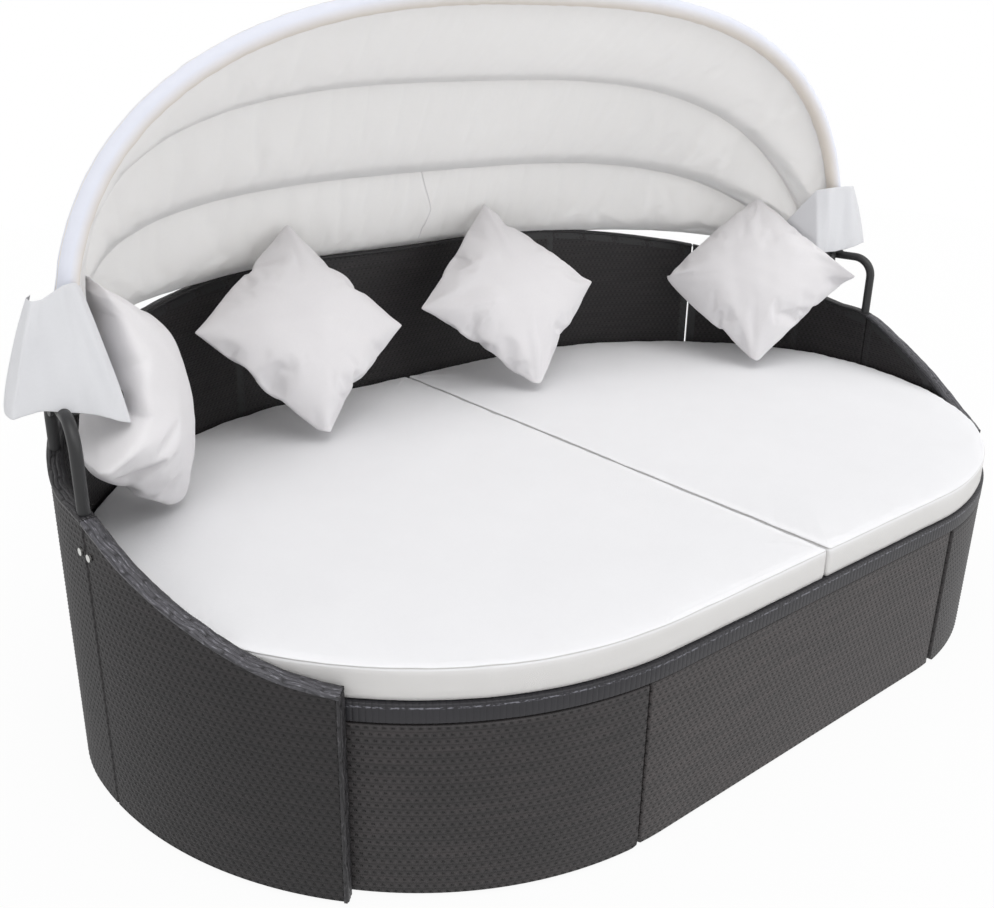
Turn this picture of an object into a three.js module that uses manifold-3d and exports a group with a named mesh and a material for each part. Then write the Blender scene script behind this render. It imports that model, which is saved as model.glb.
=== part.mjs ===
// Oval outdoor daybed with a folding canopy, in millimetres, +Z up.
// The origin is on the floor under the middle foot, +X is to the sitter's left, and the seat faces -Y.
import * as THREE from 'three';
import { mergeVertices } from 'three/addons/utils/BufferGeometryUtils.js';
import Module from 'manifold-3d';

const wasm = await Module();
wasm.setup();

// Plan outline of the outer face: straight front, corner arcs, tighter side arcs, back arcs, straight back
const HALF_WIDTH = 1000;
const FRONT_CORNER_RADIUS = 650;
const SIDE_RADIUS = 350;
const BACK_CORNER_RADIUS = 770;
const SIDE_ARC_ANGLE = THREE.MathUtils.degToRad(29);
const WIDEST_Y = 30;
const ARC_STEP = THREE.MathUtils.degToRad(7);

// Clearances
const TOUCH_GAP = 0.3;
const SLIP_GAP = 0.5;
const OVERRUN = 5;

// Woven panels: a steel frame inside a skin of woven resin strand
const PANEL_THICKNESS = 23;
const WEAVE_THICKNESS = 1.6;
const FRAME_CLEARANCE = 0.4;
const PANEL_BOTTOM = 8.3;
const PANEL_SEAM_GAP = 1;
const RAIL_HEIGHT = 19;
const BACK_TOP = 688;
const BACK_GAP_BEHIND_WIDEST = 417.6;
const WING_SEAM_AHEAD_OF_WIDEST = 70.4;
const WING_LENGTH = 436;
const BACK_POST_SHARE = 0.53;
const TOP_STATION_SHARES = [0, 0.252, 0.324, 0.419, 0.483, 0.592, 0.7, 0.753, 0.809, 0.872, 0.948, 1];
const TOP_HEIGHT_SHARES = [1, 0.998, 0.98, 0.948, 0.922, 0.836, 0.744, 0.726, 0.663, 0.594, 0.525, 0.501];

// Seat: rims, front panels, deck frames, legs and feet
const RIM_TOP = 322;
const RIM_HEIGHT = 30;
const RIM_PANEL_GAP = 4;
const RIM_SPLIT_AHEAD_OF_WIDEST = 20.4;
const FRONT_PANEL_HALF_WIDTH = 405;
const FRONT_PANEL_GAP = 5;
const FRONT_PANEL_RECESS = 3;
const FRONT_PANEL_CORNER = 14;
const DECK_TUBE = 25;
const SLAT_WIDTH = 40;
const SLAT_THICKNESS = 12;
const SLAT_COUNT = 8;
const LEG_WIDTH = 25;
const CENTRE_LEG_WIDTH = 60;
const FOOT_HEIGHT = 8;
const FOOT_RADIUS = 19;
const CENTRE_FOOT_RADIUS = 28;
const FRONT_LEG_FROM_MIDDLE = 320.7;
const SIDE_LEG_AHEAD_OF_WIDEST = 30.4;
const BACK_LEG_FROM_MIDDLE = 330;

// Mattress in two halves
const MATTRESS_SIDE_GAP = 4;
const MATTRESS_THICKNESS = 57;
const MATTRESS_CROWN = 9;
const MATTRESS_EDGE_ROUND = 9;
const MATTRESS_SIDE_DRAW = 3;
const MATTRESS_SPLIT_GAP = 2;
const MATTRESS_RING_SHARES = [0.985, 0.93, 0.8, 0.5];

// Canopy pivots, brackets and pins
const PIVOT_Y = WIDEST_Y + 35;
const PIVOT_Z = 636;
const BRACKET_TUBE_RADIUS = 9.5;
const BRACKET_BEND_RADIUS = 45;
const BRACKET_SPIGOT_RADIUS = 7;
const BRACKET_SPIGOT_LENGTH = 80;
const BRACKET_SEAM_MARGIN = 14;
const BRACKET_REAR_BEHIND_WIDEST = 130.6;
const PIN_RADIUS = 4;
const PIN_HEAD_RADIUS = 10;
const PIN_HEAD_THICKNESS = 4;
const BOLT_SHANK_RADIUS = 3;
const BOLT_HEAD_RADIUS = 6;
const BOLT_HEAD_THICKNESS = 3;
const BOLT_DROP = 50;

// Canopy bows, nested from the front bow outside to the third bow inside
const BOW_RADIUS = 8;
const BOW_PITCH = 20;
const BOW_INSET = 46;
const FRONT_BOW_HALF_SPAN = HALF_WIDTH - BOW_INSET;
const BOW_TAIL = 14;
const BOW_STEPS = 52;
const BOW_SIDES = 8;
const bows = {
  front_bow: { nest: 0, height: 582, exponent: 2.62, lean: 4 },
  second_bow: { nest: 2, height: 512, exponent: 2.95, lean: 30.5 },
  third_bow: { nest: 3, height: 479, exponent: 3.08, lean: 58.6 },
  rear_bow: { nest: 1, height: 540, exponent: 2.48, lean: 83.2 },
};

// Canopy cloth
const CLOTH_THICKNESS = 2;
const CLOTH_SAG = 10;
const CLOTH_LIFT = 12.1;
const CLOTH_ROOT = 110;
const SLEEVE_RADIUS = 17;
const SLEEVE_BORE_RADIUS = 9.7;
const SLEEVE_STEPS = 42;
const SLEEVE_ROOT_ANGLE = THREE.MathUtils.degToRad(7);
const FLAP_TOP = 176;
const FLAP_DROP = 158;
const FLAP_SPREAD = 62;
const FLAP_WIDTH = 48;
const FLAP_DEPTH = 72;
const FLAP_RIPPLE = 4;
const FLAP_FOLD_SHARE = 0.58;

// Pillows stand on a corner and lean on the back
const PILLOW_SIDE = 322;
const PILLOW_THICKNESS = 125;
const PILLOW_SEAM = 4;
const PILLOW_DRAW_SHARE = 0.07;
const PRESS_BELOW_PIVOT = 31;
const SIDE_PILLOW_BEHIND_PIVOT = 81;
const BACK_PILLOW_FROM_BACK = 187.5;
const PRESS_SOFTNESS = 35;
const PRESS_RELIEF = 85;

// Materials
function material(color, roughness, metalness) {
  return new THREE.MeshStandardMaterial({ color, roughness, metalness });
}
const wicker = () => material(0x45403f, 0.55, 0);
const steel = () => material(0x1d1c1d, 0.5, 0.4);
const bowPaint = () => material(0x232325, 0.45, 0.4);
const zinc = () => material(0xb9babc, 0.3, 0.9);
const nylon = () => material(0x151515, 0.6, 0);
const canvas = () => material(0xf2ece2, 0.9, 0);
const cover = () => material(0xf4f3f1, 0.9, 0);
const linen = () => material(0xe9e2dd, 0.9, 0);

// Collects the finished pieces
const daybed = new THREE.Group();
function addPiece(name, geometry, finish) {
  const flat = geometry.index ? geometry.toNonIndexed() : geometry;
  flat.computeVertexNormals();
  const mesh = new THREE.Mesh(flat, finish);
  mesh.name = name;
  daybed.add(mesh);
  return mesh;
}

// Solids and booleans
function toManifold(geometry) {
  const bare = geometry.clone();
  for (const attribute of Object.keys(bare.attributes)) {
    if (attribute !== 'position') {
      bare.deleteAttribute(attribute);
    }
  }
  const merged = mergeVertices(bare, 1e-3);
  return new wasm.Manifold(new wasm.Mesh({
    numProp: 3,
    vertProperties: Float32Array.from(merged.attributes.position.array),
    triVerts: Uint32Array.from(merged.index.array),
  }));
}

function fromManifold(solid) {
  const mesh = solid.getMesh();
  const geometry = new THREE.BufferGeometry();
  geometry.setAttribute('position', new THREE.BufferAttribute(Float32Array.from(mesh.vertProperties), 3));
  geometry.setIndex(Array.from(mesh.triVerts));
  return geometry;
}

function join(parts) {
  return fromManifold(parts.map(toManifold).reduce((sum, part) => sum.add(part)));
}

function cut(body, tools) {
  return fromManifold(tools.map(toManifold).reduce((rest, tool) => rest.subtract(tool), toManifold(body)));
}

// Turns a face list inside out when its volume comes out negative
function closedGeometry(points, faces) {
  let volume = 0;
  for (const [a, b, c] of faces) {
    volume += points[a].dot(new THREE.Vector3().crossVectors(points[b], points[c]));
  }
  const geometry = new THREE.BufferGeometry().setFromPoints(points);
  geometry.setIndex(faces.flatMap(([a, b, c]) => (volume < 0 ? [a, c, b] : [a, b, c])));
  return geometry;
}

// Closed rings of equal count joined into a skin, with a fan cap at each end
function loft(rings) {
  const count = rings[0].length;
  const points = rings.flat();
  const faces = [];
  for (let i = 0; i + 1 < rings.length; i += 1) {
    for (let j = 0; j < count; j += 1) {
      const a = i * count + j;
      const b = i * count + ((j + 1) % count);
      faces.push([a, b, b + count], [a, b + count, a + count]);
    }
  }
  for (const [ring, turned] of [[0, true], [rings.length - 1, false]]) {
    const middle = rings[ring].reduce((sum, p) => sum.add(p), new THREE.Vector3()).divideScalar(count);
    points.push(middle);
    for (let j = 0; j < count; j += 1) {
      const a = ring * count + j;
      const b = ring * count + ((j + 1) % count);
      faces.push(turned ? [b, a, points.length - 1] : [a, b, points.length - 1]);
    }
  }
  return closedGeometry(points, faces);
}

// A thin closed solid between two grids of points
function sheet(near, far, columns, rows) {
  const points = [];
  const faces = [];
  for (const grid of [near, far]) {
    for (let i = 0; i <= columns; i += 1) {
      for (let j = 0; j <= rows; j += 1) {
        points.push(grid(i / columns, j / rows));
      }
    }
  }
  const at = (side, i, j) => (side * (columns + 1) + i) * (rows + 1) + j;
  const quad = (a, b, c, d) => faces.push([a, b, c], [a, c, d]);
  for (let i = 0; i < columns; i += 1) {
    for (let j = 0; j < rows; j += 1) {
      quad(at(0, i, j), at(0, i + 1, j), at(0, i + 1, j + 1), at(0, i, j + 1));
      quad(at(1, i, j), at(1, i, j + 1), at(1, i + 1, j + 1), at(1, i + 1, j));
    }
    quad(at(0, i, 0), at(1, i, 0), at(1, i + 1, 0), at(0, i + 1, 0));
    quad(at(0, i + 1, rows), at(1, i + 1, rows), at(1, i, rows), at(0, i, rows));
  }
  for (let j = 0; j < rows; j += 1) {
    quad(at(0, 0, j + 1), at(1, 0, j + 1), at(1, 0, j), at(0, 0, j));
    quad(at(0, columns, j), at(1, columns, j), at(1, columns, j + 1), at(0, columns, j + 1));
  }
  return closedGeometry(points, faces);
}

// The outline as a polyline of stations, measured along the outer face from the middle of the back
const frontCentreX = HALF_WIDTH - FRONT_CORNER_RADIUS;
const sideCentreX = HALF_WIDTH - SIDE_RADIUS;
const backCentreX = sideCentreX - (BACK_CORNER_RADIUS - SIDE_RADIUS) * Math.cos(SIDE_ARC_ANGLE);
const backCentreY = WIDEST_Y - (BACK_CORNER_RADIUS - SIDE_RADIUS) * Math.sin(SIDE_ARC_ANGLE);

function outlineVertices() {
  const vertices = [{ station: 0, x: 0, y: backCentreY + BACK_CORNER_RADIUS, nx: 0, ny: 1 }];
  let station = backCentreX;
  const addArc = (centreX, centreY, radius, from, to) => {
    const count = Math.ceil(Math.abs(to - from) / ARC_STEP);
    for (let i = vertices.length === 1 ? 0 : 1; i <= count; i += 1) {
      const angle = from + ((to - from) * i) / count;
      vertices.push({
        station: station + (radius * Math.abs(to - from) * i) / count,
        x: centreX + radius * Math.cos(angle),
        y: centreY + radius * Math.sin(angle),
        nx: Math.cos(angle),
        ny: Math.sin(angle),
      });
    }
    station += radius * Math.abs(to - from);
  };
  addArc(backCentreX, backCentreY, BACK_CORNER_RADIUS, Math.PI / 2, SIDE_ARC_ANGLE);
  addArc(sideCentreX, WIDEST_Y, SIDE_RADIUS, SIDE_ARC_ANGLE, 0);
  addArc(frontCentreX, WIDEST_Y, FRONT_CORNER_RADIUS, 0, -Math.PI / 2);
  vertices.push({
    station: station + frontCentreX, x: 0, y: WIDEST_Y - FRONT_CORNER_RADIUS, nx: 0, ny: -1,
  });
  return vertices;
}
const outline = outlineVertices();
const HALF_PERIMETER = outline[outline.length - 1].station;
const backArcLength = BACK_CORNER_RADIUS * (Math.PI / 2 - SIDE_ARC_ANGLE);
const WIDEST_STATION = backCentreX + backArcLength + SIDE_RADIUS * SIDE_ARC_ANGLE;
const BACK_GAP_STATION = WIDEST_STATION - BACK_GAP_BEHIND_WIDEST;
const BACK_POST_STATION = BACK_GAP_STATION * BACK_POST_SHARE;
const WING_SEAM_STATION = WIDEST_STATION + WING_SEAM_AHEAD_OF_WIDEST;
const WING_END_STATION = WING_SEAM_STATION + WING_LENGTH;
const RIM_SPLIT_STATION = WIDEST_STATION + RIM_SPLIT_AHEAD_OF_WIDEST;
const FRONT_LEG_STATION = HALF_PERIMETER - FRONT_LEG_FROM_MIDDLE;
const SIDE_LEG_STATION = WIDEST_STATION + SIDE_LEG_AHEAD_OF_WIDEST;
const BRACKET_REAR_STATION = WIDEST_STATION - BRACKET_REAR_BEHIND_WIDEST;

// Point at a station: positive stations run round the +X side, negative ones round the -X side
function outlineAt(station, offset) {
  const side = station < 0 ? -1 : 1;
  const distance = Math.min(Math.abs(station), HALF_PERIMETER);
  let i = 1;
  while (i < outline.length - 1 && outline[i].station < distance) {
    i += 1;
  }
  const from = outline[i - 1];
  const to = outline[i];
  const share = (distance - from.station) / (to.station - from.station);
  const blend = (key) => from[key] + (to[key] - from[key]) * share;
  return {
    x: side * (blend('x') + offset * blend('nx')),
    y: blend('y') + offset * blend('ny'),
    nx: side * blend('nx'),
    ny: blend('ny'),
  };
}

// Stations from one to another through every outline vertex between them
function stationsBetween(from, to) {
  const inside = outline.flatMap((vertex) => [vertex.station, -vertex.station]);
  const list = [from, ...inside.filter((s) => s > from + 1 && s < to - 1), to];
  return [...new Set(list)].sort((a, b) => a - b);
}

// Height of the shell's top edge, found on a smooth profile at each outline vertex
const topProfile = new THREE.SplineCurve(TOP_STATION_SHARES.map(
  (share, i) => new THREE.Vector2(share * WING_END_STATION, TOP_HEIGHT_SHARES[i] * BACK_TOP),
));

function profileHeight(station) {
  let low = 0;
  let high = 1;
  for (let i = 0; i < 30; i += 1) {
    const middle = (low + high) / 2;
    if (topProfile.getPoint(middle).x < station) {
      low = middle;
    } else {
      high = middle;
    }
  }
  return topProfile.getPoint((low + high) / 2).y;
}
const vertexTops = outline.map((vertex) => profileHeight(vertex.station));

// Between two vertices the top edge runs straight, like the walls under it
function shellTop(station) {
  const distance = Math.abs(station);
  let i = 1;
  while (i < outline.length - 1 && outline[i].station < distance) {
    i += 1;
  }
  const from = outline[i - 1].station;
  const share = (distance - from) / (outline[i].station - from);
  return vertexTops[i - 1] + (vertexTops[i] - vertexTops[i - 1]) * share;
}

// A wall along the outline between two offsets and two heights
function wall(from, to, outer, inner, bottom, top) {
  const rings = stationsBetween(from, to).map((station) => {
    const face = outlineAt(station, outer);
    const back = outlineAt(station, inner);
    const low = bottom(station);
    const high = top(station);
    return [
      new THREE.Vector3(face.x, face.y, low),
      new THREE.Vector3(face.x, face.y, high),
      new THREE.Vector3(back.x, back.y, high),
      new THREE.Vector3(back.x, back.y, low),
    ];
  });
  return loft(rings);
}

// Skin of a woven panel: closed over the top and the ends, open at the bottom
function panelSkin(from, to, outer, top) {
  const inner = outer - PANEL_THICKNESS;
  const body = wall(from, to, outer, inner, () => PANEL_BOTTOM, top);
  const hollow = wall(
    from + WEAVE_THICKNESS,
    to - WEAVE_THICKNESS,
    outer - WEAVE_THICKNESS,
    inner + WEAVE_THICKNESS,
    () => PANEL_BOTTOM - OVERRUN,
    (station) => top(station) - WEAVE_THICKNESS,
  );
  return cut(body, [hollow]);
}

// Steel frame inside a panel: a rail at the bottom and the top, a post at each end and any between
function panelFrame(from, to, outer, top, posts) {
  const inset = WEAVE_THICKNESS + FRAME_CLEARANCE;
  const face = outer - inset;
  const back = outer - PANEL_THICKNESS + inset;
  const start = from + inset;
  const end = to - inset;
  const low = PANEL_BOTTOM + SLIP_GAP;
  const high = (station) => top(station) - inset;
  const half = RAIL_HEIGHT / 2;
  const uprights = [start + half, ...posts, end - half].sort((a, b) => a - b);
  const windows = uprights.slice(1).map((middle, i) => wall(
    uprights[i] + half,
    middle - half,
    face + OVERRUN,
    back - OVERRUN,
    () => low + RAIL_HEIGHT,
    (station) => high(station) - RAIL_HEIGHT,
  ));
  return cut(wall(start, end, face, back, () => low, high), windows);
}

// Round bar standing on its lower end
function uprightBar(x, y, bottom, top, radius, sides) {
  const bar = new THREE.CylinderGeometry(radius, radius, top - bottom, sides);
  bar.rotateX(Math.PI / 2);
  bar.translate(x, y, (bottom + top) / 2);
  return bar;
}

// Round bar along the outline's normal, from one offset to another
function normalBar(station, from, to, height, radius, sides) {
  const a = outlineAt(station, from);
  const b = outlineAt(station, to);
  const start = new THREE.Vector3(a.x, a.y, height);
  const end = new THREE.Vector3(b.x, b.y, height);
  const bar = new THREE.CylinderGeometry(radius, radius, start.distanceTo(end), sides);
  const direction = end.clone().sub(start).normalize();
  bar.applyQuaternion(new THREE.Quaternion().setFromUnitVectors(new THREE.Vector3(0, 1, 0), direction));
  bar.translate((start.x + end.x) / 2, (start.y + end.y) / 2, height);
  return bar;
}

// Stations of the bracket's two legs, of the bolts beside the seam, and the height of the bolts
const wallMiddle = -PANEL_THICKNESS / 2;
const bracketFrontStation = WING_SEAM_STATION - BRACKET_SEAM_MARGIN;
const bracketStations = [bracketFrontStation, BRACKET_REAR_STATION];
const boltStations = [bracketFrontStation, WING_SEAM_STATION + BRACKET_SEAM_MARGIN];
const boltHeight = shellTop(WING_SEAM_STATION) - BOLT_DROP;

// Bottom of the bracket's full tube, just clear of the sloping top edge under it
function shoulderHeight(station) {
  const uphill = shellTop(station - BRACKET_TUBE_RADIUS);
  return uphill + SLIP_GAP;
}

function boltHoles(side, clearance) {
  return boltStations.map((station) => normalBar(
    side * station,
    OVERRUN,
    -PANEL_THICKNESS * 0.65,
    boltHeight,
    BOLT_SHANK_RADIUS + clearance,
    12,
  ));
}

function spigotHoles(side) {
  return bracketStations.map((station) => {
    const foot = outlineAt(side * station, wallMiddle);
    const top = shoulderHeight(station);
    return uprightBar(
      foot.x,
      foot.y,
      top - BRACKET_SPIGOT_LENGTH - OVERRUN,
      top + OVERRUN,
      BRACKET_SPIGOT_RADIUS + TOUCH_GAP,
      12,
    );
  });
}

// Rear shell: one wide back panel, two side panels and two wings
function addShell() {
  const halfGap = PANEL_SEAM_GAP / 2;
  const backPosts = [-BACK_POST_STATION, BACK_POST_STATION];
  const backEnd = BACK_GAP_STATION - 2 * halfGap;
  addPiece('back_panel_skin', panelSkin(-backEnd, backEnd, 0, shellTop), wicker());
  addPiece('back_panel_frame', panelFrame(-backEnd, backEnd, 0, shellTop, backPosts), steel());
  for (const [label, side] of [['left', -1], ['right', 1]]) {
    const ends = (from, to) => (side > 0 ? [from, to] : [-to, -from]);
    const [sideFrom, sideTo] = ends(BACK_GAP_STATION + 2 * halfGap, WING_SEAM_STATION - halfGap);
    const [wingFrom, wingTo] = ends(WING_SEAM_STATION + halfGap, WING_END_STATION);
    const sideHoles = [...spigotHoles(side), ...boltHoles(side, TOUCH_GAP)];
    const sidePosts = bracketStations.map((station) => side * station);
    const sideSkin = cut(panelSkin(sideFrom, sideTo, 0, shellTop), sideHoles);
    const sideFrame = cut(panelFrame(sideFrom, sideTo, 0, shellTop, sidePosts), sideHoles);
    addPiece(`side_panel_${label}_skin`, sideSkin, wicker());
    addPiece(`side_panel_${label}_frame`, sideFrame, steel());
    const wingHoles = boltHoles(side, TOUCH_GAP);
    const wingPost = [side * (WING_SEAM_STATION + WING_END_STATION) / 2];
    addPiece(`wing_${label}_skin`, cut(panelSkin(wingFrom, wingTo, 0, shellTop), wingHoles), wicker());
    addPiece(
      `wing_${label}_frame`,
      cut(panelFrame(wingFrom, wingTo, 0, shellTop, wingPost), wingHoles),
      steel(),
    );
  }
}

// Seat rims: a woven band round the front, and one behind the shell
const seatOuter = -PANEL_THICKNESS - SLIP_GAP;
const seatInner = seatOuter - PANEL_THICKNESS;
const rimBottom = RIM_TOP - RIM_HEIGHT;

// Wall between two stations that crosses the middle of the front
function frontWall(from, outer, inner, bottom, top) {
  const right = stationsBetween(from, HALF_PERIMETER);
  const left = right.slice(0, -1).reverse().map((station) => -station);
  const rings = [...right, ...left].map((station) => {
    const face = outlineAt(station, outer);
    const back = outlineAt(station, inner);
    return [
      new THREE.Vector3(face.x, face.y, bottom),
      new THREE.Vector3(face.x, face.y, top),
      new THREE.Vector3(back.x, back.y, top),
      new THREE.Vector3(back.x, back.y, bottom),
    ];
  });
  return loft(rings);
}

function addRims() {
  const from = RIM_SPLIT_STATION + TOUCH_GAP;
  addPiece('seat_rim_front', frontWall(from, seatOuter, seatInner, rimBottom, RIM_TOP), wicker());
  const rear = wall(
    -RIM_SPLIT_STATION,
    RIM_SPLIT_STATION,
    seatOuter,
    seatInner,
    () => rimBottom,
    () => RIM_TOP,
  );
  addPiece('seat_rim_rear', rear, steel());
}

// Station of the front panel's edge, on the front corner arc or the straight
function frontStation(halfWidth) {
  const past = Math.max(halfWidth - frontCentreX, 0);
  const angle = Math.asin(past / (FRONT_CORNER_RADIUS + seatOuter));
  const straight = Math.min(halfWidth, frontCentreX);
  return HALF_PERIMETER - straight - FRONT_CORNER_RADIUS * angle;
}

// Rounds the two lower corners of a curved panel's free end, or the upper ones of the middle panel
function cornerCutter(station, height, inward, downward) {
  const shape = new THREE.Shape();
  shape.moveTo(-OVERRUN * inward, OVERRUN * downward);
  shape.lineTo(FRONT_PANEL_CORNER * inward, OVERRUN * downward);
  shape.lineTo(FRONT_PANEL_CORNER * inward, 0);
  const turns = 5;
  for (let i = 1; i <= turns; i += 1) {
    const angle = (i / turns) * (Math.PI / 2);
    shape.lineTo(
      FRONT_PANEL_CORNER * (1 - Math.sin(angle)) * inward,
      -FRONT_PANEL_CORNER * (1 - Math.cos(angle)) * downward,
    );
  }
  shape.lineTo(-OVERRUN * inward, -FRONT_PANEL_CORNER * downward);
  const depth = 2 * PANEL_THICKNESS + 2 * OVERRUN;
  const cutter = new THREE.ExtrudeGeometry(shape, { depth, bevelEnabled: false });
  const face = outlineAt(station, OVERRUN);
  const basis = new THREE.Matrix4().makeBasis(
    new THREE.Vector3(-face.ny, face.nx, 0),
    new THREE.Vector3(0, 0, 1),
    new THREE.Vector3(-face.nx, -face.ny, 0).negate(),
  );
  cutter.translate(0, 0, -depth);
  cutter.applyMatrix4(basis);
  cutter.translate(face.x, face.y, height);
  return cutter;
}

// Front panels: two curved ones and a slightly recessed straight one between them
function addFrontPanels() {
  const top = () => rimBottom - RIM_PANEL_GAP;
  const edge = frontStation(FRONT_PANEL_HALF_WIDTH);
  const from = RIM_SPLIT_STATION + RAIL_HEIGHT;
  for (const [label, side] of [['left', -1], ['right', 1]]) {
    const to = edge - FRONT_PANEL_GAP / 2;
    const [start, end] = side > 0 ? [from, to] : [-to, -from];
    const posts = [side * (from + to) / 2];
    const corner = [cornerCutter(side * to, PANEL_BOTTOM, side, -1)];
    const skin = cut(panelSkin(start, end, seatOuter, top), corner);
    addPiece(`front_panel_${label}_skin`, skin, wicker());
    const frame = cut(panelFrame(start, end, seatOuter, top, posts), corner);
    addPiece(`front_panel_${label}_frame`, frame, steel());
  }
  const outer = seatOuter - FRONT_PANEL_RECESS;
  const rim = top();
  const inset = WEAVE_THICKNESS + FRAME_CLEARANCE;
  const middleStart = edge + FRONT_PANEL_GAP / 2;
  const body = frontWall(middleStart, outer, outer - PANEL_THICKNESS, PANEL_BOTTOM, rim);
  const hollow = frontWall(
    middleStart + WEAVE_THICKNESS,
    outer - WEAVE_THICKNESS,
    outer - PANEL_THICKNESS + WEAVE_THICKNESS,
    PANEL_BOTTOM - OVERRUN,
    rim - WEAVE_THICKNESS,
  );
  addPiece('front_panel_middle_skin', cut(body, [hollow]), wicker());
  const face = outer - inset;
  const back = outer - PANEL_THICKNESS + inset;
  const low = PANEL_BOTTOM + SLIP_GAP;
  const high = rim - inset;
  const ring = frontWall(middleStart + inset, face, back, low, high);
  const window = frontWall(
    middleStart + inset + RAIL_HEIGHT,
    face + OVERRUN,
    back - OVERRUN,
    low + RAIL_HEIGHT,
    high - RAIL_HEIGHT,
  );
  addPiece('front_panel_middle_frame', cut(ring, [window]), steel());
}

// Deck: in each half a bent outer tube, a straight middle beam and slats between them
const deckOuter = seatInner - SLIP_GAP;
const deckInner = deckOuter - DECK_TUBE;
const beamSide = SLIP_GAP / 2 + TOUCH_GAP;

function halfWidthAt(y, offset) {
  const stations = stationsBetween(0, HALF_PERIMETER);
  for (let i = 1; i < stations.length; i += 1) {
    const a = outlineAt(stations[i - 1], offset);
    const b = outlineAt(stations[i], offset);
    if ((a.y - y) * (b.y - y) <= 0 && a.y !== b.y) {
      return a.x + ((b.x - a.x) * (y - a.y)) / (b.y - a.y);
    }
  }
  return 0;
}

function bar(x0, x1, y0, y1, z0, z1) {
  const box = new THREE.BoxGeometry(Math.abs(x1 - x0), y1 - y0, z1 - z0);
  box.translate((x0 + x1) / 2, (y0 + y1) / 2, (z0 + z1) / 2);
  return box;
}

function deckFrame(side) {
  const backStart = 2 * beamSide;
  const rings = stationsBetween(backStart, HALF_PERIMETER - backStart).map((station) => {
    const face = outlineAt(side * station, deckOuter);
    const back = outlineAt(side * station, deckInner);
    return [
      new THREE.Vector3(face.x, face.y, RIM_TOP - DECK_TUBE),
      new THREE.Vector3(face.x, face.y, RIM_TOP),
      new THREE.Vector3(back.x, back.y, RIM_TOP),
      new THREE.Vector3(back.x, back.y, RIM_TOP - DECK_TUBE),
    ];
  });
  const backY = outline[0].y + deckOuter - DECK_TUBE / 2;
  const frontY = outline[outline.length - 1].y - deckOuter + DECK_TUBE / 2;
  const beam = bar(
    side * beamSide,
    side * (beamSide + DECK_TUBE),
    frontY,
    backY,
    RIM_TOP - DECK_TUBE,
    RIM_TOP,
  );
  const pitch = (backY - frontY) / (SLAT_COUNT + 1);
  const slats = [];
  for (let i = 1; i <= SLAT_COUNT; i += 1) {
    const y = frontY + i * pitch;
    const reach = Math.min(
      halfWidthAt(y - SLAT_WIDTH / 2, deckOuter - DECK_TUBE / 2),
      halfWidthAt(y + SLAT_WIDTH / 2, deckOuter - DECK_TUBE / 2),
    );
    slats.push(bar(
      side * (beamSide + DECK_TUBE / 2),
      side * reach,
      y - SLAT_WIDTH / 2,
      y + SLAT_WIDTH / 2,
      RIM_TOP - SLAT_THICKNESS,
      RIM_TOP - TOUCH_GAP,
    ));
  }
  return join([loft(rings), beam, ...slats]);
}

// Places of the legs on the floor, each with its width and foot radius
function legPlaces() {
  const places = [{ name: 'centre', x: 0, y: 0, width: CENTRE_LEG_WIDTH, radius: CENTRE_FOOT_RADIUS }];
  const stations = { front: FRONT_LEG_STATION, side: SIDE_LEG_STATION, back: BACK_LEG_FROM_MIDDLE };
  for (const [label, side] of [['left', -1], ['right', 1]]) {
    for (const [name, station] of Object.entries(stations)) {
      const spot = outlineAt(side * station, deckOuter - DECK_TUBE / 2 - FRONT_PANEL_RECESS);
      places.push({
        name: `${name}_${label}`,
        x: spot.x,
        y: spot.y,
        turn: Math.atan2(spot.ny, spot.nx),
        width: LEG_WIDTH,
        radius: FOOT_RADIUS,
      });
    }
  }
  return places;
}

function addBase() {
  addPiece('deck_frame_left', deckFrame(-1), steel());
  addPiece('deck_frame_right', deckFrame(1), steel());
  for (const place of legPlaces()) {
    const height = RIM_TOP - DECK_TUBE - TOUCH_GAP - FOOT_HEIGHT - TOUCH_GAP;
    const leg = new THREE.BoxGeometry(place.width, place.width, height);
    leg.rotateZ(place.turn ?? 0);
    leg.translate(place.x, place.y, FOOT_HEIGHT + TOUCH_GAP + height / 2);
    addPiece(`leg_${place.name}`, leg, steel());
    const foot = uprightBar(place.x, place.y, 0, FOOT_HEIGHT, place.radius, 20);
    addPiece(`foot_${place.name}`, foot, nylon());
  }
}

// Half mattress: boxed side drawn in between its seams, and a crowned top
function mattressRing(side, offset, height) {
  const start = side * MATTRESS_SPLIT_GAP / 2;
  const shift = side * (-offset - PANEL_THICKNESS - MATTRESS_SIDE_GAP);
  const points = stationsBetween(0, HALF_PERIMETER).map((station) => {
    const spot = outlineAt(side * Math.max(station, TOUCH_GAP), offset);
    const x = station === 0 || station === HALF_PERIMETER ? start + shift : spot.x;
    return new THREE.Vector3(x, spot.y, height);
  });
  return points;
}

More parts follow.
